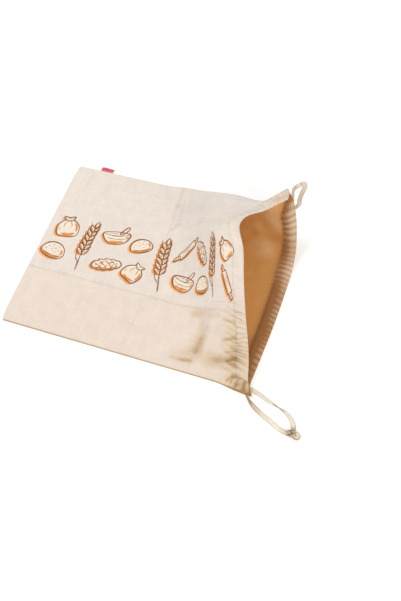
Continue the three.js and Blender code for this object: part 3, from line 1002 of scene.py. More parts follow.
def backPaintedShade(along, share):
    # painted shade: the far half of the casing is light with painted shade in the troughs between its
    # gathers, its near half, its far end and its seam are painted in shade, and the inside beyond is painted
    # half shaded, less on its folds
    shading = backPaintedShadeLevels
    fromSeam = bag["length"] - along - bag["casingDepth"]
    across = share * bag["width"]
    start, over = shading["insideFrom"]
    inside = smoothstep((fromSeam + start) / over)
    middle, half = shading["underSeamAt"]
    underSeam = bell(fromSeam + middle, half)
    trough = 1 - backWave(along, share)
    (nearTo, nearOver), (farFrom, farOver) = shading["nearHalfTo"], shading["farEndFrom"]
    deep = shading["nearHalf"] * smoothstep((nearTo - share) / nearOver)
    deep = deep + smoothstep((share - farFrom) / farOver)
    casing = (shading["casing"] + shading["troughs"] * trough + deep) * (1 - inside)
    patches = foldHeight(backPaintedLightAndShade, along, across) * inside
    seamShade, seamHalf = shading["sideSeam"]
    patches = patches + seamShade * bell(across, seamHalf)
    return np.clip(shading["inside"] * inside + shading["underSeam"] * underSeam + casing + patches, 0, 1)


def clothSurface(side, along, share):
    # the place of a point of the cut cloth, with its relief on top and the rolled corner pushed out
    rows, relief = (frontMouth, frontRelief) if side == "front" else (backMouth, backRelief)
    x, y, z = turnedPlace(side, rows, along, share)
    x = x + (cornerRoll["push"] * bell(bag["length"] - along, cornerRoll["pushAlong"])
             * bell(share * bag["width"], cornerRoll["pushAcross"]))
    return np.stack([x, y, bag["middle"] + np.maximum(0, z + relief(along, share))], -1)


def stationsTo(end, coarse, fine, fineFrom, edges, apart=0.4):
    # places along one side of a cut: coarse steps, then fine ones, and a few close to both edges
    body = np.arange(0, fineFrom, coarse).tolist() + np.arange(fineFrom, end, fine).tolist()
    inside = [value for value in body if edges[-1] + apart < value < end - edges[-1] - apart]
    return np.array([0, *edges, *inside, *(end - edge for edge in reversed(edges)), end])


clothSheet = {
    # each side's two faces, measured from the surface between back and front, and how far the casing
    # swells up and down
    "front": {"under": -0.3, "top": 0.55, "swellUp": 1.7, "swellDown": 0.5},
    "back": {"under": -1.4, "top": -0.5, "swellUp": 1.7, "swellDown": 0},
    "thinnest": 0.25,
    "casingFlat": 0.05,  # share of the width over which the casing flattens towards a side seam
    "stitchGroove": 0.7,
    "stitchGrooveHalf": 1.1,
    "edgeRound": 0.5,
    "mouthRound": 1.0,
    "tie": 0.01,  # millimetres within which two edges count as equally near
    "coarse": 3.0,
    "fine": 1.5,
    "fineFront": 1.0,
    "fineFrom": 170,
    "edges": (0.12, 0.35, 0.9),
    "seamShows": 1.6,  # how far in the turned edges of the side and closing seams reach
    # painted shade: the lower face is painted with a share of the upper face's painted shade
    "lowerPaintedShade": 0.5,  # how much of the upper face's shade the lower one gets
}


def casingProfile(along, share):
    # the turned casing with its tape: a low round swelling between the mouth edge and the stitch line, the
    # root of a sine, that flattens as a root towards both side seams
    fromEdge = bag["length"] - along
    inside = np.clip(fromEdge / bag["casingDepth"], 0, 1)
    toSeam = np.clip(np.minimum(share, 1 - share) / clothSheet["casingFlat"], 0, 1)
    return np.sqrt(np.clip(np.sin(np.pi * inside), 0, 1)) * toSeam**0.5


def clothPanel(name, side, fromShare, toShare, finishes, node):
    # a sheet with two faces, a thickness apart along the surface's normal, that meet in a rounded edge
    sheet = clothSheet[side]
    span = (toShare - fromShare) * bag["width"]
    along = stationsTo(bag["length"], clothSheet["coarse"], clothSheet["fine"], clothSheet["fineFrom"],
                       clothSheet["edges"])
    acrossStep = clothSheet["fineFront"] if side == "front" else clothSheet["fine"]
    across = stationsTo(span, acrossStep, acrossStep, 0, clothSheet["edges"])
    alongGrid, acrossGrid = np.meshgrid(along, across, indexing="ij")
    shareGrid = fromShare + acrossGrid / bag["width"]
    surface = clothSurface(side, alongGrid, shareGrid)
    normal = unit(np.cross(np.gradient(surface, axis=0), np.gradient(surface, axis=1)))
    swell = casingProfile(alongGrid, shareGrid)
    groove = bell(bag["length"] - alongGrid - bag["casingDepth"], clothSheet["stitchGrooveHalf"])
    top = sheet["top"] + sheet["swellUp"] * swell - clothSheet["stitchGroove"] * groove
    under = sheet["under"] - sheet["swellDown"] * swell
    top = np.maximum(top, under + clothSheet["thinnest"])
    # the edge is rounded over as a quarter circle, over a longer way at the mouth
    toMouth = bag["length"] - alongGrid
    toEdge = np.minimum(np.minimum(alongGrid, toMouth), np.minimum(acrossGrid, span - acrossGrid))
    nearMouth = toMouth < toEdge + clothSheet["tie"]
    roundOver = np.where(nearMouth, clothSheet["mouthRound"], clothSheet["edgeRound"])
    full = np.sqrt(1 - (1 - np.clip(toEdge / roundOver, 0, 1)) ** 2)[..., None]
    middle = ((top + under) / 2)[..., None]
    half = ((top - under) / 2)[..., None] * full
    upper = surface + normal * (middle + half)
    lower = surface + normal * (middle - half)
    # the lower face has points of its own only inside the edge, which both faces share
    rows, columns = along.size, across.size
    upperIndex = np.arange(rows * columns).reshape(rows, columns)
    lowerIndex = upperIndex.copy()
    inner = np.arange((rows - 2) * (columns - 2)).reshape(rows - 2, -1)
    lowerIndex[1:-1, 1:-1] = rows * columns + inner
    upperFaces = gridFaces(upperIndex)
    lowerFaces = gridFaces(lowerIndex)[:, ::-1]
    points = np.vstack([upper.reshape(-1, 3), lower[1:-1, 1:-1].reshape(-1, 3)])
    points[:, 2] = np.maximum(points[:, 2], 0)
    cutGrid = np.stack([alongGrid, shareGrid * bag["width"]], -1) / metre
    cut = np.vstack([cutGrid.reshape(-1, 2), cutGrid[1:-1, 1:-1].reshape(-1, 2)])
    # the turned edges of the side and closing seams show the cloth's outer side
    fromSeam = np.minimum(alongGrid, np.minimum(shareGrid, 1 - shareGrid) * bag["width"])
    corner = upperIndex[:-1, :-1].ravel()
    seamFaces = fromSeam.ravel()[corner] < clothSheet["seamShows"]
    if side == "front":
        upperMaterial, lowerMaterial = np.zeros(len(upperFaces)), np.where(seamFaces, 0, 1)
        paintedLight = frontPaintedShade(alongGrid, shareGrid)
    else:
        casingFaces = alongGrid.ravel()[corner] > bag["length"] - bag["casingDepth"]
        upperMaterial = np.where(seamFaces, 1, np.where(casingFaces, 2, 0))
        lowerMaterial = np.ones(len(lowerFaces))
        paintedLight = backPaintedShade(alongGrid, shareGrid)
    # painted shade for each point; the lower face gets a share of it
    paintedLight = np.concatenate([paintedLight.ravel(), clothSheet["lowerPaintedShade"] * paintedLight[1:-1, 1:-1].ravel()])
    made = makePiece(name, points, np.vstack([upperFaces, lowerFaces]), [materials[key] for key in finishes],
                     cut, np.concatenate([upperMaterial, lowerMaterial]), paintedLight=paintedLight)
    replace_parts(made, node)
    return {"piece": made, "along": along, "across": across, "fromShare": fromShare, "upper": upper,
            "normal": normal}


# the inside and casing finishes are linen painted darker and warmer as shade inside the bag
backCloth = clothPanel("back_cloth", "back", 0, 1, ("inside", "outside", "casing"), "back_panel")
lowerCloth = clothPanel("front_lower_cloth", "front", 0, bag["piecedSeam"] - bag["piecedGap"],
                        ("lower", "inside"), "front_lower_panel")
upperCloth = clothPanel("front_upper_cloth", "front", bag["piecedSeam"] + bag["piecedGap"], 1,
                        ("upper", "inside"), "front_upper_panel")
print("cloth panels made")


def onCloth(cloth, along, across, above):
    # points a little above a cloth's upper face, by bilinear interpolation between its own points
    row = np.clip(np.searchsorted(cloth["along"], along, side="right") - 1, 0, len(cloth["along"]) - 2)
    start = cloth["fromShare"] * bag["width"]
    column = np.clip(np.searchsorted(cloth["across"], across - start, side="right") - 1, 0,
                     len(cloth["across"]) - 2)
    u = (along - cloth["along"][row]) / (cloth["along"][row + 1] - cloth["along"][row])
    v = (across - start - cloth["across"][column]) / (cloth["across"][column + 1] - cloth["across"][column])
    u, v = np.clip(u, 0, 1)[..., None], np.clip(v, 0, 1)[..., None]
    surface, normal = ((1 - u) * (1 - v) * grid[row, column] + u * (1 - v) * grid[row + 1, column]
                       + (1 - u) * v * grid[row, column + 1] + u * v * grid[row + 1, column + 1]
                       for grid in (cloth["upper"], cloth["normal"]))
    return surface + unit(normal) * np.asarray(above)[..., None]


# The print: bakery things in one warm ink range. Each has an offset shadow, a pale filling, a shaded side
# and a brushed outline. Motifs are drawn in millimetres about their own middle.
printInks = {
    "shadow": ("#F3BC86", 0.05),  # tint and height above the cloth
    "side": ("#DB8F4B", 0.08),
    "filling": ("#F3E6D4", 0.11),
    "glow": ("#EDB27C", 0.14),
    "shading": ("#D98C4A", 0.17),
    "outline": ("#94613F", 0.21),
}
printStyle = {
    "outline": 1.748,
    "secondOutline": 0.855,  # drawn again inside the outline, a little off it
    "secondInset": 0.965,
    "secondWander": 0.9,
    "glowWide": 1.9,  # width of the glow about a shading stroke, as a multiple of the stroke's
    "shadowShift": (-3.3, -3.5),
    "sideShift": (-1.5, -1.9),
    "step": 1.3,
    "ringStep": 2.08,
    "fewestRings": 3,
    "fewestSteps": 4,
    "fewestRound": 12,
    "full": 0.82,  # a stroke's width, as a share of the brush's, and how far it swells and thins
    "swell": 0.22,
    "swells": 2,
    "phaseTo": 6.28,  # radians: its swelling starts anywhere in a full turn
    "endShare": 0.35,
    "endPower": 0.6,
    "seed": 7,
}


class Drawing:
    # collects triangles of the drawing, in the cloth's flat millimetres
    def __init__(self):
        self.points, self.faces, self.inks, self.count = [], [], [], 0
        self.chance = np.random.default_rng(printStyle["seed"])

    def add(self, points, quads, ink, triangles=()):
        self.points.append(points)
        faces = np.vstack([quads[:, [0, 1, 2]], quads[:, [0, 2, 3]], *triangles])
        self.faces.append(faces + self.count)
        self.inks.append(np.full(len(points), list(printInks).index(ink)))
        self.count += len(points)

    def fill(self, outline, ink):
        # rings that shrink from the outline to its middle
        middle = outline.mean(0)
        widest = np.linalg.norm(outline - middle, axis=1).max()
        rings = max(printStyle["fewestRings"], int(widest / printStyle["ringStep"]))
        share = np.linspace(1, 0, rings, endpoint=False)[:, None, None]
        points = (middle + share * (outline - middle)).reshape(-1, 2)
        last = np.arange(len(points) - len(outline), len(points))
        centre = np.stack([last, np.roll(last, -1), np.full(len(outline), len(points))], 1)
        self.add(np.vstack([points, middle]), tubeFaces(rings, len(outline)), ink, [centre])

    def stroke(self, line, width, ink, closed=False):
        # a ribbon along the line, whose width swells and thins as a sine, and narrows at open ends as a
        # power of half a sine
        if closed:
            forward = unit(np.roll(line, -1, 0) - np.roll(line, 1, 0))
        else:
            count = max(printStyle["fewestSteps"], int(stepsOf(line).sum() / printStyle["step"]))
            line = curveThrough(line, count)
            forward = unit(np.gradient(line, axis=0))
        side = np.stack([-forward[:, 1], forward[:, 0]], 1)
        share = np.linspace(0, 1, len(line))
        phase = self.chance.uniform(0, printStyle["phaseTo"])
        swelling = np.sin(2 * np.pi * printStyle["swells"] * share + phase)
        uneven = printStyle["full"] + printStyle["swell"] * swelling
        if not closed:
            atEnds = printStyle["endShare"]
            uneven = uneven * (atEnds + (1 - atEnds) * np.sin(np.pi * share) ** printStyle["endPower"])
        half = (width / 2 * uneven)[:, None]
        points = np.stack([line - side * half, line, line + side * half], 1).reshape(-1, 2)
        index = np.arange(len(points)).reshape(len(line), 3)
        if closed:
            index = np.vstack([index, index[:1]])
        self.add(points, gridFaces(index), ink)


def closedLine(points, perPoint=40):
    # a smooth closed line through the points, sampled evenly: a curve that runs past its start is cut
    # off where it comes closest to the first point, once in each half
    points = np.asarray(points, float)
    around = np.vstack([points[-2:], points, points[:3]])
    line = curveThrough(around, perPoint * len(around))
    away = np.linalg.norm(line - points[0], axis=1)
    middle = len(line) // 2
    start, finish = away[:middle].argmin(), middle + away[middle:].argmin()
    line = line[start:finish + 1]
    count = max(printStyle["fewestRound"], int(stepsOf(line).sum() / printStyle["step"]))
    return evenly(line, count, closed=True)


def arc(middleX, middleY, radiusX, radiusY, fromDegree, toDegree, count=9):
    # a part of an ellipse
    t = np.radians(np.linspace(fromDegree, toDegree, count))
    return np.stack([middleX + radiusX * np.cos(t), middleY + radiusY * np.sin(t)], 1)


# Each motif: its closed outlines, its shading strokes (line, width) and its drawn lines (line, width)
flourSack = {
    "outlines": [closedLine([(-12, -15.5), (-15.5, -8), (-14.6, 2), (-9, 9), (-5.6, 11.4), (-8.2, 16.6),
                             (0, 15.2), (7.8, 17), (5.6, 11.4), (9.4, 8.8), (15, 2), (15.6, -8),
                             (12.4, -15.6), (0, -17)])],
    "shading": [([(-8, -13.2), (3, -14), (11, -11.2)], 3.0), ([(12, -8), (12.2, 0), (8.6, 5.6)], 2.4)],
    "lines": [
        ([(-6, 11), (0, 9.4), (6, 11)], 1.7), ([(-5, 9), (0, 7.6), (5, 9)], 0.9),
        ([(-3.4, 7.4), (-5.6, 2.6), (-6, -2.4)], 1.1), ([(2.6, 7.4), (4.6, 3), (4.8, -1)], 1.1),
        ([(0.4, 14.4), (-0.4, 11.6)], 0.9), ([(-11.4, -2), (-12.2, -8.6)], 0.8),
    ],
}
plaitedLoaf = {
    "outlines": [closedLine([(-23, 0), (-19, 6.5), (-14, 7), (-11, 10), (-4, 8.8), (-1, 11), (6, 8.6),
                             (9, 10), (15, 6.5), (18, 6.8), (22.5, 0.5), (18, -6), (13, -6.5), (9, -9.6),
                             (3, -8.4), (-1, -10.6), (-8, -8.4), (-11, -9.6), (-16, -6), (-19.5, -5.8)])],
    "shading": [([(-16, -3.8), (-8, -6.4), (0, -7.6), (8, -6.6), (16, -3.6)], 3.0),
                ([(-11, 1), (-7, 4.4), (-3, 5.4)], 1.8), ([(3, 1), (7, 4), (11, 4.6)], 1.8)],
    "lines": [
        ([(-18.5, 5), (-14, 0.5), (-9, -3.5), (-7.5, -8)], 1.4),
        ([(-12, 9), (-7, 3), (-2, -2.5), (0, -9.5)], 1.5),
        ([(-3, 9.6), (1.5, 4), (6, -1.5), (9.5, -8.6)], 1.5),
        ([(6.5, 8.4), (10, 4), (14, -0.5), (17.5, -5)], 1.4),
        ([(-13.5, -6.8), (-9.5, -2.5), (-7, 1.5)], 1.0), ([(-4, -8.8), (-1, -4.5), (2, 1)], 1.0),
        ([(5, -8.6), (8, -4), (10.6, 1)], 1.0), ([(-15, 2), (-17.5, -3)], 0.8), ([(14, 3), (18, 0)], 0.8),
    ],
}
seededBun = {
    "outlines": [closedLine([(-17, -5), (-16.5, 3), (-12, 9.6), (-4, 13), (5, 12.6), (12.5, 8.4), (16.6, 1.5),
                             (16.5, -6), (10, -10.4), (0, -12), (-10.5, -10)])],
    "shading": [([(-13.5, -7.4), (-4, -9.6), (6, -9.2), (13.4, -5.4)], 2.8),
                (arc(0, 0, 13, 9.4, -20, 30), 2.2)],
    "lines": [
        ([(-16.4, -4.4), (-8, -7), (2, -7.6), (10, -6.6), (16.2, -3.8)], 1.3),
        ([(-9, 3.2), (-7.6, 4.8)], 1.2), ([(-4.5, 7.4), (-3, 9)], 1.2), ([(1, 3.5), (2.8, 4.8)], 1.2),
        ([(4.6, 8), (6.4, 8.6)], 1.2), ([(-3.6, 0.4), (-2.2, 2)], 1.2), ([(7, 2), (8.8, 2.9)], 1.2),
        ([(-11.5, -1.6), (-10, -0.4)], 1.2), ([(2.6, -2.6), (4.4, -1.8)], 1.2), ([(10.6, 5), (12, 4.4)], 1.2),
        (arc(-6, 5, 8, 6, 100, 165), 0.8),
    ],
}
mixingBowl = {
    "outlines": [closedLine([(4.4, 6), (12.8, 16.6), (15.8, 18), (17, 15.2), (9, 5)]),
                 closedLine([(-20, 5.4), (-18.8, -2), (-13.6, -9), (-6.6, -12.4), (6.6, -12.4), (13.6, -9),
                             (18.8, -2), (20, 5.4), (12, 7.8), (0, 8.6), (-12, 7.8)])],
    "shading": [([(-10, -8.8), (0, -10), (11, -8)], 3.0), ([(15, -3), (17, 2)], 2.2)],
    "lines": [
        ([(-19.6, 5), (-10, 2.2), (0, 1.4), (10, 2.2), (19.6, 5)], 1.5),
        ([(-15.4, -1.6), (-8, -4), (0, -4.6), (8, -4), (15.4, -1.6)], 1.0),
        ([(-12, 5.2), (-4, 5.8), (3, 5)], 0.8), ([(-4, -9.4), (3, -9.6)], 0.7),
    ],
}
# a quarter of the pin's outline; the other three are its mirror images
pinQuarter = [(28, 1.6), (23, 2.6), (18.4, 2.2), (17.6, 5), (13, 5.8)]
pinHalf = [(-x, y) for x, y in pinQuarter] + [(0, 6.2)] + pinQuarter[::-1]
rollingPin = {
    "outlines": [closedLine(pinHalf + [(-x, -y) for x, y in pinHalf])],
    "shading": [([(-15, -3.4), (0, -3.8), (15, -3.4)], 2.8), ([(20, -1), (27, -0.8)], 1.3),
                ([(-27, -0.8), (-20, -1)], 1.3)],
    "lines": [([(-17.8, 4.6), (-16.8, 0), (-17.8, -4.6)], 1.2), ([(17.8, 4.6), (16.8, 0), (17.8, -4.6)], 1.2),
              ([(-12, 2.6), (-2, 3.2), (8, 2.8)], 0.8), ([(-6, 0.4), (4, 0.7)], 0.6)],
}
# An ear of wheat: kernels in pairs up its stem, each drawn from its root along x, then turned and placed.
# A stroke is its line and its width, and a line on the stem is given by its y alone.
ear = {
    "pairs": 6,
    "firstPair": -12,
    "pitch": 8.6,
    "spread": (34, 2),  # degrees that the first pair leans out, and less for each next pair
    "beside": 0.9,
    "kernel": [(0, 0), (0.25, 0.42), (0.55, 0.5), (0.85, 0.24), (1, 0), (0.82, -0.26), (0.5, -0.5),
               (0.2, -0.38)],
    "kernelSize": (13.5, 6.2),
    "kernelShading": ([(2.5, -1.2), (6.5, -1.7), (10, -0.9)], 1.7),
    "kernelLine": ([(3, 0.5), (7.5, 0.7)], 0.7),
    "awn": ([(13, 0), (19, 0.6)], 0.8),
    "topSpin": [(0.12, 1.0), (-1.0, 0.12)],
    "topDrop": 2,
    "topShading": ([(3, -1.2), (7, -1.6), (10, -0.8)], 1.6),
    "bend": (0.0016, -38, -3),  # how strongly the stem bends, from which y, and its x there
    "stem": ((-42, -32, -22, -12, -4), 1.7),
    "stemShading": ((-40, -31, -23), 0.7),
    "stemShadingBeside": 1.2,
    "leaf": ([(-8, -19), (-9.5, -10)], 1.5),  # its points past the stem, which it leaves at leafFrom
    "leafFrom": -28,
}


def onStem(y, beside=0.0):
    # the stem bends as a parabola
    strength, fromY, x = ear["bend"]
    return strength * (y - fromY) ** 2 + x + beside, y


def placedStroke(part, spin, at, mirror=1):
    # one of the ear's strokes, turned and placed; mirror is -1 for the kernels on the other side
    line, width = ear[part]
    return np.array(line) * (1, mirror) @ spin + at, width


def wheatEar():
    kernel = np.array(ear["kernel"]) * ear["kernelSize"]
    outlines, shading, lines = [], [], []
    for k in range(ear["pairs"]):
        for side in (-1, 1):
            turn = math.radians(90 - side * (ear["spread"][0] - ear["spread"][1] * k))
            spin = np.array([(math.cos(turn), math.sin(turn)), (-math.sin(turn), math.cos(turn))])
            at = np.array(onStem(ear["firstPair"] + ear["pitch"] * k, side * ear["beside"]))
            outlines.append(closedLine(kernel @ spin + at))
            shading.append(placedStroke("kernelShading", spin, at, side))
            lines.append(placedStroke("kernelLine", spin, at, side))
            lines.append(placedStroke("awn", spin, at, side))
    spin = np.array(ear["topSpin"])
    at = np.array(onStem(ear["firstPair"] + ear["pitch"] * ear["pairs"])) - (0, ear["topDrop"])
    outlines.append(closedLine(kernel @ spin + at))
    shading.append(placedStroke("topShading", spin, at))
    for part, beside in (("stem", 0), ("stemShading", ear["stemShadingBeside"])):
        heights, width = ear[part]
        lines.append(([onStem(y, beside) for y in heights], width))
    leaf, width = ear["leaf"]
    lines.append(([onStem(ear["leafFrom"]), *leaf], width))
    return {"outlines": outlines, "shading": shading, "lines": lines}


# Where they go: motif, middle along, middle across, turn in degrees, scale
printPlan = [
    (flourSack, 30, 181, 10, 1.1), (seededBun, 25, 133, -12, 1.1),
    (wheatEar(), 69, 150, 4, 1.0),
    (mixingBowl, 108, 183, 10, 1.04), (plaitedLoaf, 111, 131, 16, 1.0),
    (seededBun, 150, 177, 24, 0.98), (flourSack, 154, 130, -30, 0.96),
    (wheatEar(), 191, 150, 14, 1.02),
    (rollingPin, 229, 181, 32, 1.0), (mixingBowl, 232, 132, -14, 1.0),
    (plaitedLoaf, 268, 172, -50, 0.92), (seededBun, 275, 128, 8, 0.88),
    (wheatEar(), 302, 150, 5, 0.9),
    (flourSack, 334, 175, 40, 0.84), (rollingPin, 336, 132, -66, 0.8),
]


def drawMotif(drawing, motif, along, across, turn, scale):
    turn = math.radians(turn)
    spin = scale * np.array([(math.cos(turn), math.sin(turn)), (-math.sin(turn), math.cos(turn))])
    middle = np.array((along, across), float)
    moved = [np.asarray(line, float) @ spin + middle for line in motif["outlines"]]
    for outline in moved:
        drawing.fill(outline + printStyle["shadowShift"], "shadow")
        drawing.fill(outline + printStyle["sideShift"], "side")
    for outline in moved:
        drawing.fill(outline, "filling")
    for line, width in motif["shading"]:
        placed = np.asarray(line, float) @ spin + middle
        drawing.stroke(placed, width * printStyle["glowWide"] * scale, "glow")
        drawing.stroke(placed, width * scale, "shading")
    for outline in moved:
        drawing.stroke(outline, printStyle["outline"], "outline", closed=True)
        inner = outline.mean(0) + (outline - outline.mean(0)) * printStyle["secondInset"]
        shift = drawing.chance.uniform(-printStyle["secondWander"], printStyle["secondWander"], 2)
        drawing.stroke(inner + shift, printStyle["secondOutline"], "outline", closed=True)
    for line, width in motif["lines"]:
        drawing.stroke(np.asarray(line, float) @ spin + middle, width * scale, "outline")


def makePrint():
    drawing = Drawing()
    for placing in printPlan:
        drawMotif(drawing, *placing)
    flat = np.vstack(drawing.points)
    inks = np.concatenate(drawing.inks)
    above = np.array([height for _, height in printInks.values()])[inks]
    tints = np.array([linearColour(tint) for tint, _ in printInks.values()])[inks]
    # every triangle is turned to face up
    faces = np.vstack(drawing.faces)
    a, b, c = (flat[faces[:, k]] for k in range(3))
    turned = (b[:, 0] - a[:, 0]) * (c[:, 1] - a[:, 1]) - (b[:, 1] - a[:, 1]) * (c[:, 0] - a[:, 0]) < 0
    faces[turned] = faces[turned][:, ::-1]
    return makePiece("bakery_print", onCloth(upperCloth, flat[:, 0], flat[:, 1], above), faces,
                     [materials["ink"]], flat / metre, ink=tints)


breadPrint = makePrint()
print("print made,", len(breadPrint.data.polygons), "faces")


# Sewing
sewing = {
    "pitch": 3.1,
    "length": 2.3,
    "thick": 0.5,
    "uneven": 0.18,
    "rise": 0.42,  # height of a stitch's middle and how far its ends dip below that, in thicknesses
    "dip": 0.62,
    "thinnest": 0.04,
    "sides": 6,
    "rings": 5,
}
# rows of stitches on a cloth: from along, from across, to along, to across
stitchLine = bag["length"] - bag["casingDepth"]
sewingRows = {
    "casing_stitches_lower": (lowerCloth, [(stitchLine, 3, stitchLine, 95)]),
    "casing_stitches_upper": (upperCloth, [(stitchLine, 99, stitchLine, 297)]),
    "casing_stitches_back": (backCloth, [(stitchLine, 3, stitchLine, 297)]),
    "pieced_seam_stitches": (upperCloth, [(3, 99.4, 364, 99.4), (300, 107.4, 364, 110.4)]),
}


def stitchRow(cloth, fromAlong, fromAcross, toAlong, toAcross, seed):
    # each stitch is a short thread: t runs from -1 to 1 along it, its height falls by the cube of t so
    # that its ends dip into the cloth, and its thickness is the root of 1 less the fourth power of t
    chance = np.random.default_rng(seed)
    reach = math.hypot(toAlong - fromAlong, toAcross - fromAcross)
    direction = np.array((toAlong - fromAlong, toAcross - fromAcross)) / reach
    count = int(reach / sewing["pitch"])
    at = (np.arange(count) + 0.5) * sewing["pitch"] + chance.normal(0, sewing["uneven"], count)
    t = np.linspace(-1, 1, sewing["rings"])
    along = at[:, None] + t[None, :] * sewing["length"] / 2
    flat = np.array((fromAlong, fromAcross)) + along[..., None] * direction
    rise = sewing["thick"] * (sewing["rise"] - sewing["dip"] * np.abs(t) ** 3) * np.ones((count, 1))
    line = onCloth(cloth, flat[..., 0], flat[..., 1], rise)
    above = onCloth(cloth, flat[..., 0], flat[..., 1], rise + 1)
    forward = unit(np.gradient(line, axis=1))
    normal = unit(above - line)
    side = unit(np.cross(forward, normal))
    radius = sewing["thick"] / 2 * np.sqrt(np.maximum(1 - np.abs(t) ** 4, sewing["thinnest"]))
    angle = 2 * np.pi * np.arange(sewing["sides"]) / sewing["sides"]
    ring = side[:, :, None] * np.cos(angle)[:, None] + normal[:, :, None] * np.sin(angle)[:, None]
    points = line[:, :, None] + ring * radius[None, :, None, None]
    index = np.arange(points.size // 3).reshape(count, sewing["rings"], sewing["sides"])
    index = np.concatenate([index, index[:, :, :1]], 2)
    faces = np.stack([index[:, :-1, :-1], index[:, :-1, 1:], index[:, 1:, 1:], index[:, 1:, :-1]], -1)
    cut = np.stack(np.broadcast_arrays(along[..., None], angle * radius[None, :, None]), -1) / metre
    return points.reshape(-1, 3), faces.reshape(-1, 4), cut.reshape(-1, 2)


for rowNumber, (name, (cloth, rows)) in enumerate(sewingRows.items()):
    parts = [stitchRow(cloth, *row, seed=100 * rowNumber + k) for k, row in enumerate(rows)]
    starts = np.cumsum([0] + [len(points) for points, _, _ in parts])
    makePiece(name, np.vstack([points for points, _, _ in parts]),
              np.vstack([faces + start for (_, faces, _), start in zip(parts, starts)]),
              [materials["threadInside" if cloth is backCloth else "thread"]],
              np.vstack([cut for _, _, cut in parts]))
print("stitches made")


# Ribbon tab
ribbonTab = {
    "start": 37,
    "width": 19,
    "reach": 7.4,
    "thick": 0.4,
    "gap": 0.5,
    "low": 0.75,
    "root": 0.4,  # how far out from the seam its halves start
    "bulge": 0.35,
    "wave": 0.18,  # height of its slow waves at a reach of waveReach
    "waveLength": 3.1,
    "waveReach": 7,
    "lean": 0.03,
    "stations": 14,
    "bendStations": 12,
    "step": 1.0,
    "edges": (0.1, 0.3),
    # painted highlight: the ribbon's root is painted paler
    "paintedHighlight": 0.6,  # how pale its root is, where that is, and half width
    "edgeAt": 0.2,
    "edgeHalf": 1.2,
}


def makeTab():
    # a ribbon folded in half: out along its lower half, round a small bend and back along its upper
    # half, swept across its width, with a thickness to both sides of that line
    farSide = widthAt(ribbonTab["start"] + ribbonTab["width"])
    thick, root = ribbonTab["thick"], ribbonTab["root"]
    bend = (ribbonTab["gap"] + thick) / 2
    t = np.linspace(0, 1, ribbonTab["stations"])
    turn = np.linspace(-np.pi / 2, np.pi / 2, ribbonTab["bendStations"])
    reach = ribbonTab["reach"] - bend - thick / 2
    lowerHalf = np.stack([root + t * (reach - root), 0 * t - bend], 1)
    upperHalf = np.stack([reach - t * (reach - root), bend + ribbonTab["bulge"] * np.sin(np.pi * t)], 1)
    bent = np.stack([reach + bend * np.cos(turn), bend * np.sin(turn)], 1)
    line = np.vstack([lowerHalf[:-1], bent, upperHalf[1:]])
    forward = unit(np.gradient(line, axis=0))
    outward = np.stack([forward[:, 1], -forward[:, 0]], 1)
    around = np.vstack([line + outward * thick / 2, (line - outward * thick / 2)[::-1]])
    along = stationsTo(ribbonTab["width"], ribbonTab["step"], ribbonTab["step"], 0, ribbonTab["edges"])
    out, up = around[None, :, 0], around[None, :, 1]
    wave = ribbonTab["wave"] * np.sin(along / ribbonTab["waveLength"])[:, None]
    wave = wave * (out / ribbonTab["waveReach"])
    points = np.stack(np.broadcast_arrays(ribbonTab["start"] + along[:, None] + ribbonTab["lean"] * out**2,
                                          farSide + out,
                                          ribbonTab["low"] + bend + thick / 2 + up + wave), -1)
    # the sides, and at each end a cap between the line's two sides
    rows, half = np.arange(points.size // 3).reshape(len(along), -1), len(line)
    caps = [np.stack([row[:half - 1], row[1:half], row[2 * half - 2:half - 1:-1],
                      row[2 * half - 1:half:-1]], 1) for row in rows[[0, -1]]]
    faces = np.vstack([tubeFaces(*rows.shape), caps[0], caps[1][:, ::-1]])
    length = lengthAlong(line)
    cut = np.stack(np.broadcast_arrays(along[:, None], np.concatenate([length, length[::-1]])), -1) / metre
    # painted highlight along the ribbon's root
    paintedRootHighlight = ribbonTab["paintedHighlight"] * bell(around[:, 0] - ribbonTab["edgeAt"], ribbonTab["edgeHalf"])
    made = makePiece("ribbon_tab", points.reshape(-1, 3), faces, [materials["ribbon"]], cut.reshape(-1, 2),
                     paintedLight=np.tile(paintedRootHighlight, len(along)))
    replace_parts(made, "side_tab")


makeTab()
print("ribbon tab made")


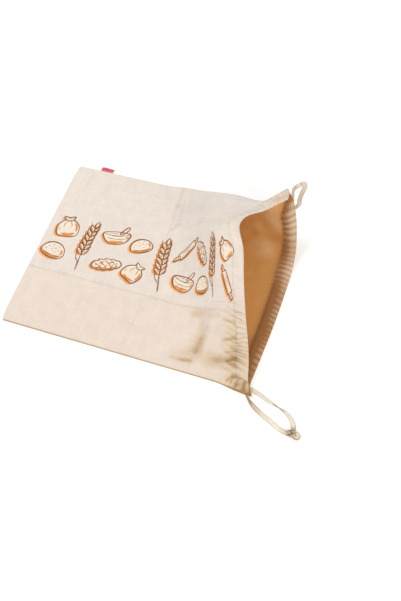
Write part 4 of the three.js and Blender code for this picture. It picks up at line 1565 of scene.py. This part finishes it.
# Floor and light
studio = {
    "floorHalf": 40000,
    "floorDrop": 0.2,
    "floorTint": "#E8E8E8",
    "floorGlow": 0.29,
    "worldStrength": 0.52,
    "white": "#FFFFFF",
    "exposure": 0.0,
}
# soft boxes: place and aim in millimetres, side in metres, power in watts, tint
lights = {
    "key_light": ((-700, 500, 1150), (262, 117, 0), 0.6, 11.4, "#FFFFFF"),
    "fill_light": ((1100, -650, 800), (290, 190, 20), 0.5, 9.2, "#FFF3E6"),
}


def makeFloor():
    # an even pale floor: matt, and it glows a little, so that it is as light as its surroundings
    material = bpy.data.materials.new("studio_floor")
    material.use_nodes = True
    shader = material.node_tree.nodes["Principled BSDF"]
    settings = {"Base Color": linearColour(studio["floorTint"]), "Roughness": 1.0, "Specular IOR Level": 0.0,
                "Emission Color": linearColour(studio["white"]), "Emission Strength": studio["floorGlow"]}
    for socket, value in settings.items():
        shader.inputs[socket].default_value = value
    half, z = studio["floorHalf"], -studio["floorDrop"]
    mesh = bpy.data.meshes.new("studio_floor")
    corners = [(-half, -half, z), (half, -half, z), (half, half, z), (-half, half, z)]
    mesh.from_pydata(toRow(corners).tolist(), [], [(0, 1, 2, 3)])
    mesh.materials.append(material)
    floor = bpy.data.objects.new("studio_floor", mesh)
    bpy.context.scene.collection.objects.link(floor)


def makeLight(name, place, aim, side, power, tint):
    light = bpy.data.lights.new(name, "AREA")
    light.energy, light.size = power, side
    light.color = linearColour(tint)[:3]
    made = bpy.data.objects.new(name, light)
    made.location = toRow(place)
    made.rotation_mode = "QUATERNION"
    made.rotation_quaternion = (Vector(toRow(aim)) - made.location).to_track_quat("-Z", "Y")
    bpy.context.scene.collection.objects.link(made)


def makeStudio():
    makeFloor()
    world = bpy.data.worlds.new("studio")
    world.use_nodes = True
    background = world.node_tree.nodes["Background"]
    background.inputs["Color"].default_value = linearColour(studio["white"])
    background.inputs["Strength"].default_value = studio["worldStrength"]
    bpy.context.scene.world = world
    for name, settings in lights.items():
        makeLight(name, *settings)
    bpy.context.scene.view_settings.view_transform = "Standard"
    bpy.context.scene.view_settings.exposure = studio["exposure"]


makeStudio()
print("studio made")
